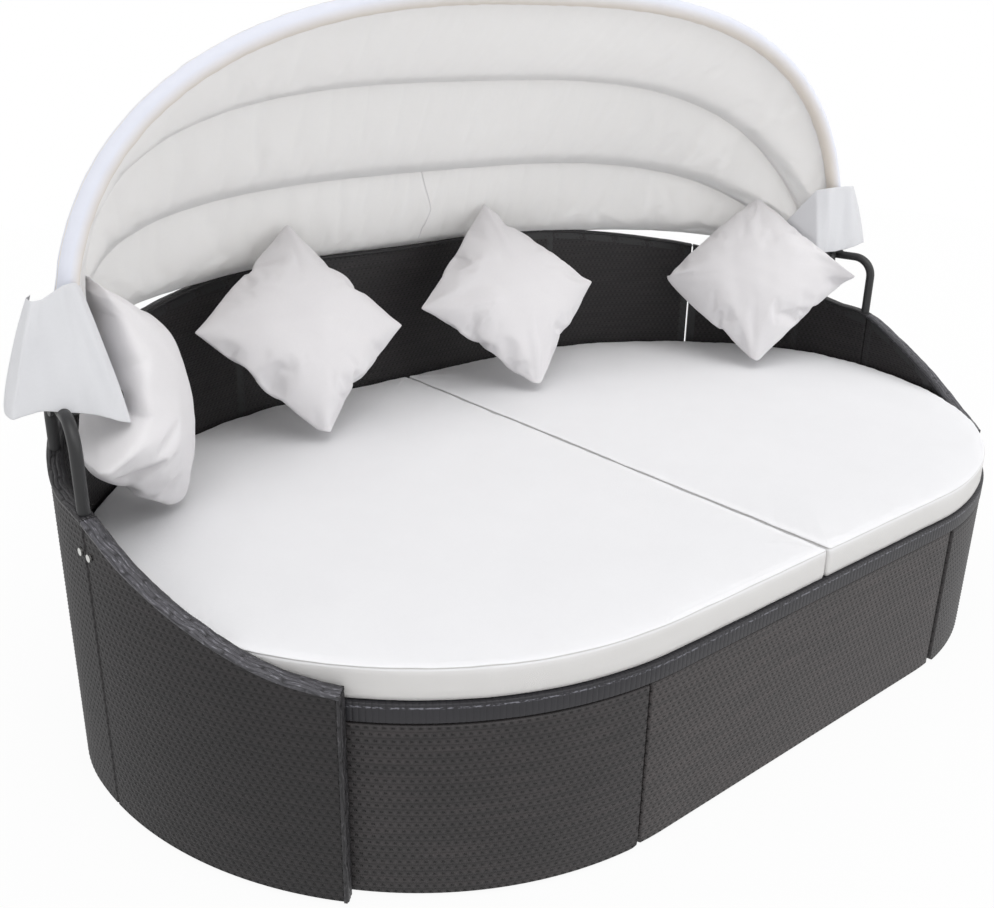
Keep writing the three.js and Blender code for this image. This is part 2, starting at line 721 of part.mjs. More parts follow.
function mattressHalf(side) {
  const edge = -PANEL_THICKNESS - MATTRESS_SIDE_GAP;
  const low = RIM_TOP + TOUCH_GAP;
  const high = low + MATTRESS_THICKNESS;
  const rings = [
    mattressRing(side, edge - MATTRESS_EDGE_ROUND, low),
    mattressRing(side, edge, low + MATTRESS_EDGE_ROUND),
    mattressRing(side, edge - MATTRESS_SIDE_DRAW, (low + high) / 2),
    mattressRing(side, edge, high - MATTRESS_EDGE_ROUND),
    mattressRing(side, edge - MATTRESS_EDGE_ROUND / 3, high - MATTRESS_EDGE_ROUND / 3),
    mattressRing(side, edge - MATTRESS_EDGE_ROUND, high),
  ];
  const last = rings[rings.length - 1];
  const middle = new THREE.Vector3();
  last.forEach((point) => middle.add(point));
  middle.divideScalar(last.length);
  for (const share of MATTRESS_RING_SHARES) {
    const rise = MATTRESS_CROWN * (1 - share * share);
    rings.push(last.map((point) => new THREE.Vector3(
      middle.x + (point.x - middle.x) * share,
      middle.y + (point.y - middle.y) * share,
      high + rise,
    )));
  }
  return loft(rings);
}

function addMattresses() {
  addPiece('mattress_left', mattressHalf(-1), cover());
  addPiece('mattress_right', mattressHalf(1), cover());
}

// Point of a bow: the angle runs from the +X pivot over the top to the -X pivot
function bowHalfSpan(bow) {
  return FRONT_BOW_HALF_SPAN - bow.nest * BOW_PITCH;
}

function bowRadius(bow, angle, outward) {
  const across = Math.abs(Math.cos(angle)) / (bowHalfSpan(bow) + outward);
  const along = Math.abs(Math.sin(angle)) / (bow.height + outward);
  return (across ** bow.exponent + along ** bow.exponent) ** (-1 / bow.exponent);
}

function bowPoint(bow, angle, outward, backward) {
  const lean = THREE.MathUtils.degToRad(bow.lean);
  const radius = bowRadius(bow, angle, outward);
  const rise = radius * Math.sin(angle);
  return new THREE.Vector3(
    radius * Math.cos(angle),
    PIVOT_Y + rise * Math.sin(lean) + backward * Math.cos(lean),
    PIVOT_Z + rise * Math.cos(lean) - backward * Math.sin(lean),
  );
}

function tubeShape(radius, sides) {
  const shape = new THREE.Shape();
  for (let i = 0; i < sides; i += 1) {
    const angle = ((i + 0.5) / sides) * 2 * Math.PI;
    const x = radius * Math.cos(angle);
    const y = radius * Math.sin(angle);
    if (i === 0) {
      shape.moveTo(x, y);
    } else {
      shape.lineTo(x, y);
    }
  }
  shape.closePath();
  return shape;
}

function tubeAlong(points, shape, steps) {
  const path = new THREE.CatmullRomCurve3(points, false, 'centripetal');
  return new THREE.ExtrudeGeometry(shape, { steps, extrudePath: path, bevelEnabled: false });
}

// Round bar along X through the pivot axis
function pivotBar(from, to, radius, sides) {
  const shaft = new THREE.CylinderGeometry(radius, radius, Math.abs(to - from), sides);
  shaft.rotateZ(Math.PI / 2);
  shaft.translate((from + to) / 2, PIVOT_Y, PIVOT_Z);
  return shaft;
}

function bowTube(bow) {
  const lean = THREE.MathUtils.degToRad(bow.lean);
  const half = bowHalfSpan(bow);
  const down = new THREE.Vector3(0, -Math.sin(lean), -Math.cos(lean));
  const points = [];
  for (const share of [1, 0.5]) {
    points.push(new THREE.Vector3(half, PIVOT_Y, PIVOT_Z).addScaledVector(down, BOW_TAIL * share));
  }
  const count = 36;
  for (let i = 0; i <= count; i += 1) {
    points.push(bowPoint(bow, (Math.PI * i) / count, 0, 0));
  }
  for (const share of [0.5, 1]) {
    points.push(new THREE.Vector3(-half, PIVOT_Y, PIVOT_Z).addScaledVector(down, BOW_TAIL * share));
  }
  const tube = tubeAlong(points, tubeShape(BOW_RADIUS, BOW_SIDES), BOW_STEPS);
  const reach = half + BOW_RADIUS + OVERRUN;
  return cut(tube, [pivotBar(-reach, reach, PIN_RADIUS + TOUCH_GAP, 12)]);
}

// Bracket: an inverted U of tube whose reduced ends plug into the side panel's posts
function bracketTube(side) {
  const [front, rear] = bracketStations.map((station) => outlineAt(side * station, wallMiddle));
  const tubeTop = PIVOT_Z;
  const along = new THREE.Vector3(rear.x - front.x, rear.y - front.y, 0);
  const length = along.length();
  along.normalize();
  const points = [];
  const frontLow = shoulderHeight(bracketStations[0]);
  const rearLow = shoulderHeight(bracketStations[1]);
  const place = (distance, height) => new THREE.Vector3(
    front.x + along.x * distance,
    front.y + along.y * distance,
    height,
  );
  const bendTop = tubeTop - BRACKET_BEND_RADIUS;
  const turns = 6;
  points.push(place(0, frontLow), place(0, (frontLow + bendTop) / 2));
  for (let i = 0; i <= turns; i += 1) {
    const angle = (i / turns) * (Math.PI / 2);
    points.push(place(
      BRACKET_BEND_RADIUS * (1 - Math.cos(angle)),
      bendTop + BRACKET_BEND_RADIUS * Math.sin(angle),
    ));
  }
  for (let i = turns; i >= 0; i -= 1) {
    const angle = (i / turns) * (Math.PI / 2);
    points.push(place(
      length - BRACKET_BEND_RADIUS * (1 - Math.cos(angle)),
      bendTop + BRACKET_BEND_RADIUS * Math.sin(angle),
    ));
  }
  points.push(place(length, rearLow));
  const tube = tubeAlong(points, tubeShape(BRACKET_TUBE_RADIUS, 10), 24);
  const spigots = [[front, frontLow], [rear, rearLow]].map(([foot, low]) => uprightBar(
    foot.x,
    foot.y,
    low - BRACKET_SPIGOT_LENGTH,
    low + BRACKET_TUBE_RADIUS,
    BRACKET_SPIGOT_RADIUS,
    12,
  ));
  const middle = (front.x + rear.x) / 2;
  const pinHole = pivotBar(
    middle - 2 * BRACKET_TUBE_RADIUS,
    middle + 2 * BRACKET_TUBE_RADIUS,
    PIN_RADIUS + TOUCH_GAP,
    12,
  );
  return cut(join([tube, ...spigots]), [pinHole, ...boltHoles(side, TOUCH_GAP)]);
}

// Pin through the bracket and the four bow ends, with a head at each end
function pivotPin(side) {
  const feet = bracketStations.map((station) => outlineAt(station, wallMiddle));
  const middle = (feet[0].x + feet[1].x) / 2;
  const slant = Math.abs(feet[0].x - feet[1].x) / 2;
  const outside = middle + BRACKET_TUBE_RADIUS + slant * 0.3;
  const inside = FRONT_BOW_HALF_SPAN - 3 * BOW_PITCH - BOW_RADIUS - SLIP_GAP;
  return join([
    pivotBar(side * inside, side * outside, PIN_RADIUS, 16),
    pivotBar(side * (outside - TOUCH_GAP), side * (outside + PIN_HEAD_THICKNESS), PIN_HEAD_RADIUS, 16),
    pivotBar(side * (inside - PIN_HEAD_THICKNESS), side * (inside + TOUCH_GAP / 2), PIN_HEAD_RADIUS, 16),
  ]);
}

function seamBolt(side, station) {
  const shank = normalBar(
    side * station, 1, -PANEL_THICKNESS * 0.6, boltHeight, BOLT_SHANK_RADIUS, 12,
  );
  const head = normalBar(
    side * station, TOUCH_GAP, BOLT_HEAD_THICKNESS, boltHeight, BOLT_HEAD_RADIUS, 16,
  );
  return join([shank, head]);
}

function addCanopyFrame() {
  for (const [name, bow] of Object.entries(bows)) {
    addPiece(name, bowTube(bow), bowPaint());
  }
  for (const [label, side] of [['left', -1], ['right', 1]]) {
    addPiece(`canopy_bracket_${label}`, bracketTube(side), steel());
    addPiece(`pivot_pin_${label}`, pivotPin(side), steel());
    boltStations.forEach((station, i) => {
      const place = i === 0 ? 'rear' : 'front';
      addPiece(`seam_bolt_${label}_${place}`, seamBolt(side, station), zinc());
    });
  }
}

// Angle at which a bow has risen to a given distance from the pivot axis
function rootAngle(bow) {
  return Math.asin(CLOTH_ROOT / bowHalfSpan(bow));
}

// Cloth between two bows: straight across, with a little sag, and clear of the tubes inside it
function canopyPanel(frontBow, backBow, start, end) {
  const rim = (bow, share, backward, outward) => {
    const root = rootAngle(bow);
    const angle = root + (Math.PI - 2 * root) * share;
    return bowPoint(bow, angle, outward, backward);
  };
  const surface = (lift) => (u, v) => {
    const a = rim(frontBow, u, start.backward, start.outward + lift);
    const b = rim(backBow, u, end.backward, end.outward + lift);
    const point = a.lerp(b, v);
    const arch = Math.sin(Math.PI * u);
    const sag = CLOTH_SAG * 4 * v * (1 - v) * arch;
    const inward = new THREE.Vector3(0, PIVOT_Y, PIVOT_Z).sub(point);
    inward.x = 0;
    return point.addScaledVector(inward.normalize(), sag);
  };
  return sheet(surface(CLOTH_LIFT), surface(CLOTH_LIFT + CLOTH_THICKNESS), 30, 4);
}

function addCanopyCloth() {
  const seam = TOUCH_GAP;
  const touching = { backward: 0, outward: 0 };
  const sleeveEdge = { backward: SLEEVE_RADIUS + SLIP_GAP, outward: -BOW_RADIUS - SLIP_GAP };
  const before = { ...touching, backward: -seam };
  const after = { ...touching, backward: seam };
  const { front_bow: first, second_bow: second, third_bow: third, rear_bow: rear } = bows;
  addPiece('canopy_cloth_front', canopyPanel(first, second, sleeveEdge, before), canvas());
  addPiece('canopy_cloth_middle', canopyPanel(second, third, after, before), canvas());
  addPiece('canopy_cloth_rear', canopyPanel(third, rear, after, touching), canvas());
  const points = [];
  const count = 30;
  for (let i = 0; i <= count; i += 1) {
    const angle = SLEEVE_ROOT_ANGLE + (Math.PI - 2 * SLEEVE_ROOT_ANGLE) * (i / count);
    points.push(bowPoint(first, angle, 0, 0));
  }
  const ring = tubeShape(SLEEVE_RADIUS, BOW_SIDES);
  ring.holes.push(tubeShape(SLEEVE_BORE_RADIUS, BOW_SIDES));
  addPiece('front_bow_sleeve', tubeAlong(points, ring, SLEEVE_STEPS), canvas());
}

// Corner flap: cloth hanging from the sleeve's end, folded round the pivot and spreading outwards
function cornerFlap(side) {
  const bow = bows.front_bow;
  const half = bowHalfSpan(bow);
  const sleeveFlat = SLEEVE_RADIUS * Math.cos(Math.PI / BOW_SIDES);
  const surface = (lift) => (u, v) => {
    const drop = FLAP_TOP - FLAP_DROP * v;
    const lean = THREE.MathUtils.degToRad(bow.lean);
    const frontY = PIVOT_Y + drop * Math.sin(lean) - sleeveFlat - 2 * TOUCH_GAP - lift;
    const inner = half - BOW_RADIUS - FLAP_WIDTH / 4 - (FLAP_SPREAD / 5) * v;
    const outer = half + FLAP_WIDTH * 0.75 + FLAP_SPREAD * v + lift;
    const ripple = FLAP_RIPPLE * v * Math.sin(3 * Math.PI * u);
    const z = PIVOT_Z + drop * Math.cos(lean);
    if (u < FLAP_FOLD_SHARE) {
      const share = u / FLAP_FOLD_SHARE;
      return new THREE.Vector3(side * (inner + (outer - inner) * share), frontY - ripple * share, z);
    }
    const share = (u - FLAP_FOLD_SHARE) / (1 - FLAP_FOLD_SHARE);
    return new THREE.Vector3(
      side * (outer - ripple * share),
      frontY + (FLAP_DEPTH + lift) * share,
      z - FLAP_RIPPLE * share,
    );
  };
  return sheet(surface(0), surface(CLOTH_THICKNESS), 12, 5);
}

// Where a pillow lies against the canopy pivots it is pressed flat just inside them
function pressedReach(reach, height) {
  const below = THREE.MathUtils.clamp((PIVOT_Z - PRESS_BELOW_PIVOT - height) / PRESS_SOFTNESS, 0, 1);
  const pinHead = FRONT_BOW_HALF_SPAN - 3 * BOW_PITCH - BOW_RADIUS - SLIP_GAP - PIN_HEAD_THICKNESS;
  const limit = pinHead - OVERRUN + below * PRESS_RELIEF;
  const start = limit - PRESS_SOFTNESS;
  return reach < start ? reach : limit - PRESS_SOFTNESS * Math.exp((start - reach) / PRESS_SOFTNESS);
}

// Pillow: crowned on both sides, with drawn-in sides and pointed corners
function pillowSolid(place) {
  const up = new THREE.Vector3(...place.up).normalize();
  const across = new THREE.Vector3(...place.across);
  across.addScaledVector(up, -across.dot(up)).normalize();
  const facing = new THREE.Vector3().crossVectors(across, up);
  const half = PILLOW_SIDE / 2;
  const centre = new THREE.Vector3(...place.centre);
  const surface = (direction) => (u, v) => {
    const a = 2 * u - 1;
    const b = 2 * v - 1;
    const x = a * half * (1 - PILLOW_DRAW_SHARE * (1 - b * b));
    const y = b * half * (1 - PILLOW_DRAW_SHARE * (1 - a * a));
    const crown = ((1 - a ** 4) * (1 - b ** 4)) ** 0.62;
    const height = (PILLOW_SEAM + (PILLOW_THICKNESS - PILLOW_SEAM) * crown) / 2;
    const point = centre.clone()
      .addScaledVector(across, (x - y) * Math.SQRT1_2)
      .addScaledVector(up, (x + y) * Math.SQRT1_2)
      .addScaledVector(facing, direction * height);
    point.x = Math.sign(point.x) * pressedReach(Math.abs(point.x), point.z);
    return point;
  };
  return sheet(surface(-1), surface(1), 12, 12);
}

function addPillows() {
  const sideY = PIVOT_Y + SIDE_PILLOW_BEHIND_PIVOT;
  const backY = backCentreY + BACK_CORNER_RADIUS - BACK_PILLOW_FROM_BACK;
  const bed = RIM_TOP + TOUCH_GAP + MATTRESS_THICKNESS;
  const centreAt = (widthShare, y, liftShare) => [widthShare * HALF_WIDTH, y, bed + liftShare * PILLOW_SIDE];
  const places = {
    pillow_left: { centre: centreAt(-0.814, sideY, 0.6997), across: [575, 797, 185], up: [-290, -12, 956] },
    pillow_back_left: { centre: centreAt(-0.362, backY, 0.6277), across: [988, -120, -90], up: [137, 500, 852] },
    pillow_back_right: { centre: centreAt(0.197, backY, 0.6065), across: [972, -227, 45], up: [90, 542, 835] },
    pillow_right: { centre: centreAt(0.762, sideY, 0.6125), across: [600, -795, 90], up: [395, 392, 830] },
  };
  for (const [name, place] of Object.entries(places)) {
    addPiece(name, pillowSolid(place), linen());
  }
}

addShell();
addRims();
addFrontPanels();
addBase();
addMattresses();
addCanopyFrame();
addCanopyCloth();
addPiece('corner_flap_left', cornerFlap(-1), canvas());
addPiece('corner_flap_right', cornerFlap(1), canvas());
addPillows();

export default daybed;
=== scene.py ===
"""Outdoor daybed with a folding canopy, dressed for rendering. Metres, +Z up, origin under the mid foot."""

import math

import bmesh
import bpy
import numpy as np
from mathutils import Matrix, Vector


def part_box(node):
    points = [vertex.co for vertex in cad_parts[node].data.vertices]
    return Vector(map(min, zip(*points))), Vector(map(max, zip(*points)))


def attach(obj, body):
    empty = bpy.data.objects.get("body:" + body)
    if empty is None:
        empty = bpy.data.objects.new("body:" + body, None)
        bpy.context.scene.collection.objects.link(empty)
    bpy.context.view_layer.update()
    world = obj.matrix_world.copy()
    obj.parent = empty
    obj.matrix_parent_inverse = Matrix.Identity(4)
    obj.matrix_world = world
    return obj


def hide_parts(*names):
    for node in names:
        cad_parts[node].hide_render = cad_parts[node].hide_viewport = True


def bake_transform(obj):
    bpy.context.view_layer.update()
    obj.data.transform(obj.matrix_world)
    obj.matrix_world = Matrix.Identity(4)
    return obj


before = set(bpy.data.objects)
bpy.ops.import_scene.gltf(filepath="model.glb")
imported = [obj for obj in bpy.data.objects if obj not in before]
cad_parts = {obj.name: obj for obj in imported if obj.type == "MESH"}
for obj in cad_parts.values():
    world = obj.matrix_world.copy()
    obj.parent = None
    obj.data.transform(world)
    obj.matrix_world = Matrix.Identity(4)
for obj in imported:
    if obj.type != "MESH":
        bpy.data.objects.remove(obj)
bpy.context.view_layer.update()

# Plan outline of the shell's outer face
HALF_WIDTH = 1.0
FRONT_CORNER_RADIUS = 0.65
SIDE_RADIUS = 0.35
BACK_CORNER_RADIUS = 0.77
SIDE_ARC_ANGLE = math.radians(29)
WIDEST_Y = 0.03
SIDE_CENTRE_X = HALF_WIDTH - SIDE_RADIUS
FRONT_CENTRE_X = HALF_WIDTH - FRONT_CORNER_RADIUS
BACK_CENTRE_X = SIDE_CENTRE_X - (BACK_CORNER_RADIUS - SIDE_RADIUS) * math.cos(SIDE_ARC_ANGLE)
BACK_CENTRE_Y = WIDEST_Y - (BACK_CORNER_RADIUS - SIDE_RADIUS) * math.sin(SIDE_ARC_ANGLE)

# Stations along the outer face, measured from the middle of the back
BACK_ARC_END = BACK_CENTRE_X + BACK_CORNER_RADIUS * (math.pi / 2 - SIDE_ARC_ANGLE)
WIDEST_STATION = BACK_ARC_END + SIDE_RADIUS * SIDE_ARC_ANGLE
FRONT_ARC_END = WIDEST_STATION + FRONT_CORNER_RADIUS * math.pi / 2
HALF_PERIMETER = FRONT_ARC_END + FRONT_CENTRE_X
BACK_GAP_STATION = 0.862
WING_SEAM_STATION = 1.350
WING_END_STATION = 1.786
BACK_GROOVE_STATION = 0.457
PANEL_GAP = 0.001
BACK_SEAM_GAP = 0.0025
SEAM_DEPTH = 0.0032
SEAM_WIDTH = 0.0026
GROOVE_DEPTH = 0.6 * SEAM_DEPTH
FRONT_PANEL_GAP = 0.005
FRONT_PANEL_HALF_WIDTH = 0.405
FRONT_PANEL_START = 1.319

# Heights and thicknesses, read from the frame where it has them
PANEL_THICKNESS = 0.023
PANEL_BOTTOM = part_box("back_panel_skin")[0][2]
BACK_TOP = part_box("back_panel_skin")[1][2]
RIM_BOTTOM, RIM_TOP = (corner[2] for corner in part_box("seat_rim_front"))
FRONT_PANEL_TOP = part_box("front_panel_middle_skin")[1][2] - 0.001
SEAT_OUTER = -PANEL_THICKNESS - 0.0005
MIDDLE_PANEL_RECESS = 0.003
RIM_SPLIT_STATION = 1.300
TOP_STATION_SHARES = (0, 0.252, 0.324, 0.419, 0.483, 0.592, 0.7, 0.753, 0.809, 0.872, 0.948, 1)
TOP_HEIGHT_SHARES = (1, 0.998, 0.98, 0.948, 0.922, 0.836, 0.744, 0.726, 0.663, 0.594, 0.525, 0.501)

# Weave of flat resin strands, and strand wound round the rim
STAKE_PITCH = 0.0063
ROW_PITCH = 0.0105
WEAVE_RELIEF = 0.0009
WEAVE_INSET = 0.0012
CORNER_ROUND = 0.014
LEVEL_STEP = 0.0002
WRAP_PITCH = 0.0092
WRAP_RELIEF = 0.0005
# Height and half width of the band of painted highlight dashes near the rim's top
HIGHLIGHT_HEIGHT = 0.0225
HIGHLIGHT_BAND = 0.0022
RIM_SECTION_SHARES = (
    (0.0, 0.05), (0.0, 0.95), (0.02, 0.985), (0.09, 1.0), (0.5, 1.0), (0.91, 1.0),
    (1.0, 0.95), (1.0, 0.05), (0.91, 0.0), (0.09, 0.0), (0.02, 0.015),
)

# Binding of long flat strands laid over the edges of the shell's panels
BINDING_DEPTH = 0.0045
BINDING_PROUD = 0.0016
BINDING_STEP = 0.0026
BINDING_CROWN = 0.0022
BINDING_SINK = 0.0012
BINDING_LANES = 4
LANE_POINTS = 4
LANE_SHIFT = 0.37
STRAND_LENGTH = 0.085
STRAND_HEIGHT = 0.0013

# Canopy bows: nesting place, height, exponent of the arch and lean in degrees
PIVOT_Y = 0.065
PIVOT_Z = 0.636
FRONT_BOW_HALF_SPAN = 0.954
BOW_PITCH = 0.020
BOWS = {
    "front_bow": (0, 0.582, 2.62, 4.0),
    "second_bow": (2, 0.512, 2.95, 30.5),
    "third_bow": (3, 0.479, 3.08, 58.6),
    "rear_bow": (1, 0.540, 2.48, 83.2),
}
CLOTH_ROOT = 0.110
CLOTH_THICKNESS = 0.0012
SETTLE_FRAMES = 24
SLEEVE_RADIUS = 0.0165
SLEEVE_ROOT_ANGLE = math.radians(9.3)

# The photograph's camera
IMAGE_WIDTH = 994
IMAGE_HEIGHT = 908
CAMERA_PLACE = (-1.3802, -1.3909, 1.1220)
CAMERA_YAW = math.radians(-36.2475)
CAMERA_PITCH = math.radians(-19.8496)
CAMERA_ROLL = math.radians(-0.3262)
CAMERA_FOCAL = 1024.41
CAMERA_CENTRE = (425.54, 421.18)
SENSOR_WIDTH = 36.0


# Arrays

def joined(*parts):
    """Arrays spread to one shape and stacked along a new last axis."""
    return np.stack(np.broadcast_arrays(*parts), -1)


def unit(vectors):
    return vectors / np.linalg.norm(vectors, axis=-1, keepdims=True)


def run(points):
    """Length along a line of points, from its first point."""
    return np.concatenate([[0], np.cumsum(np.linalg.norm(np.diff(points, axis=0), axis=1))])


def soft_noise(points, seed, scale, octaves=2):
    """Smooth repeatable noise over (u, v) pairs, about -1 to 1."""
    draw = np.random.default_rng(seed)
    points = np.asarray(points, float)
    total = np.zeros(points.shape[:-1])
    for octave in range(octaves):
        for _ in range(7):
            angle = draw.uniform(0, 2 * math.pi)
            wave = 2 * math.pi * (2 ** octave) / scale * draw.uniform(0.6, 1.4)
            turn = points[..., 0] * math.cos(angle) + points[..., 1] * math.sin(angle)
            total += np.sin(turn * wave + draw.uniform(0, 2 * math.pi)) / (2 ** octave)
    return total / 4.0


def smooth_line(points, count):
    """Points spread evenly along a rounded polyline."""

    def resampled(line, number):
        knots = run(line)
        even = np.linspace(0, knots[-1], number)
        return np.stack([np.interp(even, knots, column) for column in line.T], 1)

    fine = resampled(np.asarray(points, float), 400)
    width = 7
    kernel = np.hanning(2 * width + 3)[1:-1]
    kernel /= kernel.sum()
    padded = np.concatenate([np.repeat(fine[:1], width, 0), fine, np.repeat(fine[-1:], width, 0)])
    return resampled(np.stack([np.convolve(column, kernel, "valid") for column in padded.T], 1), count)


# Meshes

def new_object(name, points, faces, uvs=None, smooth=True):
    """A mesh object; uvs holds one pair per vertex, in metres."""
    mesh = bpy.data.meshes.new(name)
    mesh.from_pydata([tuple(p) for p in points], [], [tuple(f) for f in faces])
    mesh.update()
    if uvs is not None:
        layer = mesh.uv_layers.new(name="UVMap")
        corners = np.empty(len(mesh.loops), int)
        mesh.loops.foreach_get("vertex_index", corners)
        layer.data.foreach_set("uv", np.asarray(uvs, float)[corners].ravel())
    mesh.polygons.foreach_set("use_smooth", [smooth] * len(mesh.polygons))
    obj = bpy.data.objects.new(name, mesh)
    bpy.context.scene.collection.objects.link(obj)
    return obj


def outward(obj):
    """Turns the faces of a closed mesh outwards."""
    work = bmesh.new()
    work.from_mesh(obj.data)
    bmesh.ops.recalc_face_normals(work, faces=work.faces)
    work.to_mesh(obj.data)
    work.free()
    return obj


def ring_body(name, rings, along=None, round_it=None, uvs=None):
    """A closed body through rings of equal count; uvs run along it and round it, in metres."""
    rings = np.asarray(rings, float)
    count, around, _ = rings.shape
    if uvs is None:
        along = run(rings.mean(axis=1)) if along is None else along
        round_it = run(rings[count // 2]) if round_it is None else round_it
        uvs = joined(along[:, None], np.broadcast_to(round_it, (count, around)))
        cap_uvs = uvs[[0, -1], 0]
    else:
        cap_uvs = uvs[[0, -1]].mean(axis=1)
    points = np.concatenate([rings.reshape(-1, 3), rings[[0, -1]].mean(axis=1)])
    uvs = np.concatenate([uvs.reshape(-1, 2), cap_uvs])
    pairs = [(j, (j + 1) % around) for j in range(around)]
    last = (count - 1) * around
    faces = [(i + j, i + k, i + around + k, i + around + j) for i in range(0, last, around) for j, k in pairs]
    for i, centre in ((0, last + around), (last, last + around + 1)):
        faces += [(i + j, i + k, centre) for j, k in pairs]
    return outward(new_object(name, points, faces, uvs))


def swept_tube(name, path, radius, sides):
    """A closed round tube along a path."""
    path = np.asarray(path, float)
    tangents = unit(np.gradient(path, axis=0))
    normal = Vector(tangents[0]).orthogonal().normalized()
    angles = np.linspace(0, 2 * math.pi, sides, endpoint=False)
    rings = []
    for centre, tangent in zip(path, tangents):
        tangent = Vector(tangent)
        normal = (normal - tangent * normal.dot(tangent)).normalized()
        other = tangent.cross(normal)
        rings.append(centre + radius * (np.outer(np.cos(angles), normal) + np.outer(np.sin(angles), other)))
    return ring_body(name, rings)


def grid_faces(columns, rows):
    """Quads over a grid whose vertices run column by column."""
    index = np.arange(columns * rows).reshape(columns, rows)
    corners = index[:-1, :-1], index[1:, :-1], index[1:, 1:], index[:-1, 1:]
    return np.stack(corners, -1).reshape(-1, 4).tolist()


def grid_normals(grid):
    """Unit normals over a grid of points."""
    return unit(np.cross(np.gradient(grid, axis=0), np.gradient(grid, axis=1)))


def thick_sheet(name, grid, uv_grid):
    """A closed sheet as thick as the cloth over a grid of points, smoothed once."""
    columns, rows, _ = grid.shape
    shift = grid_normals(grid) * CLOTH_THICKNESS / 2
    points = np.concatenate([(grid + shift).reshape(-1, 3), (grid - shift).reshape(-1, 3)])
    uvs = np.concatenate([uv_grid.reshape(-1, 2)] * 2)
    count = columns * rows
    faces = grid_faces(columns, rows)
    faces += [tuple(c + count for c in reversed(f)) for f in faces]
    index = np.arange(count).reshape(columns, rows)
    border = np.concatenate([index[0], index[1:, -1], index[-1, -2::-1], index[-2:0:-1, 0]]).tolist()
    faces += [(a, b, b + count, a + count) for a, b in zip(border, border[1:] + border[:1])]
    return refine(outward(new_object(name, points, faces, uvs)))


def set_points(obj, points):
    obj.data.vertices.foreach_set("co", np.asarray(points, float).ravel())
    obj.data.update()


def get_points(mesh):
    return np.array([v.co[:] for v in mesh.vertices])


def refine(obj):
    """One level of smooth subdivision, kept in the mesh."""
    modifier = obj.modifiers.new("smooth", "SUBSURF")
    modifier.levels = 1
    modifier.render_levels = 1
    graph = bpy.context.evaluated_depsgraph_get()
    fine = bpy.data.meshes.new_from_object(obj.evaluated_get(graph))
    obj.modifiers.remove(modifier)
    obj.data = fine
    return obj


def settle(obj, stiffness, pins=None, gravity=0.0, pressure=0.0, shrink=0.0, quality=6):
    """Runs a short cloth simulation on the object and gives its last shape."""
    tension, compression, shear, bending = stiffness
    modifier = obj.modifiers.new("cloth", "CLOTH")
    settings = modifier.settings
    settings.quality = quality
    settings.mass = 0.3
    settings.tension_stiffness = tension
    settings.compression_stiffness = compression
    settings.shear_stiffness = shear
    settings.bending_stiffness = bending
    settings.shrink_min = shrink
    settings.effector_weights.gravity = gravity
    settings.air_damping = 2.0
    if pressure:
        settings.use_pressure = True
        settings.uniform_pressure_force = pressure
    if pins is not None:
        group = obj.vertex_groups.new(name="pins")
        group.add([int(i) for i in pins], 1.0, "REPLACE")
        settings.vertex_group_mass = "pins"
    modifier.collision_settings.use_collision = False
    modifier.collision_settings.use_self_collision = False
    modifier.point_cache.frame_start = 1
    modifier.point_cache.frame_end = SETTLE_FRAMES
    scene = bpy.context.scene
    for frame_number in range(1, SETTLE_FRAMES + 1):
        scene.frame_set(frame_number)
    settled = obj.evaluated_get(bpy.context.evaluated_depsgraph_get())
    shape = get_points(settled.to_mesh())
    settled.to_mesh_clear()
    obj.modifiers.remove(modifier)
    obj.vertex_groups.clear()
    scene.frame_set(1)
    return shape


def dress(obj, body, material):
    """Rides the piece on its body where it has one and gives it its material."""
    obj.data.materials.clear()
    obj.data.materials.append(material)
    if body:
        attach(obj, body)
    return obj


# Outline

def outline(station, offset=0.0):
    """Points (x, y) of the plan outline at signed stations, moved outwards by offset."""
    station = np.asarray(station, float)
    station = (station + HALF_PERIMETER) % (2 * HALF_PERIMETER) - HALF_PERIMETER
    s = np.abs(station)

    def arc(centre_x, centre_y, radius, start_angle, start_station):
        angle = start_angle - (s - start_station) / radius
        return centre_x + radius * np.cos(angle), centre_y + radius * np.sin(angle), angle

    choices = [
        (s, BACK_CENTRE_Y + BACK_CORNER_RADIUS + 0 * s, math.pi / 2 + 0 * s),
        arc(BACK_CENTRE_X, BACK_CENTRE_Y, BACK_CORNER_RADIUS, math.pi / 2, BACK_CENTRE_X),
        arc(SIDE_CENTRE_X, WIDEST_Y, SIDE_RADIUS, SIDE_ARC_ANGLE, BACK_ARC_END),
        arc(FRONT_CENTRE_X, WIDEST_Y, FRONT_CORNER_RADIUS, 0.0, WIDEST_STATION),
        (HALF_PERIMETER - s, WIDEST_Y - FRONT_CORNER_RADIUS + 0 * s, -math.pi / 2 + 0 * s),
    ]
    ends = (BACK_CENTRE_X, BACK_ARC_END, WIDEST_STATION, FRONT_ARC_END)
    tests = [*(s <= end for end in ends), s > FRONT_ARC_END]
    x, y, angle = (np.select(tests, [c[k] for c in choices]) for k in range(3))
    side = np.where(station < 0, -1.0, 1.0)
    return side * (x + offset * np.cos(angle)), y + offset * np.sin(angle)


def shell_top(station):
    """Height of the shell's top edge, smooth through the profile's points."""
    s = np.clip(np.abs(np.asarray(station, float)), 0, WING_END_STATION)
    knots = np.array(TOP_STATION_SHARES) * WING_END_STATION
    heights = np.array(TOP_HEIGHT_SHARES) * BACK_TOP
    slopes = np.gradient(heights, knots)
    slopes[0] = 0
    i = np.clip(np.searchsorted(knots, s, side="right") - 1, 0, len(knots) - 2)
    width = knots[i + 1] - knots[i]
    t = (s - knots[i]) / width
    return (
        (2 * t ** 3 - 3 * t ** 2 + 1) * heights[i]
        + (t ** 3 - 2 * t ** 2 + t) * width * slopes[i]
        + (3 * t ** 2 - 2 * t ** 3) * heights[i + 1]
        + (t ** 3 - t ** 2) * width * slopes[i + 1]
    )


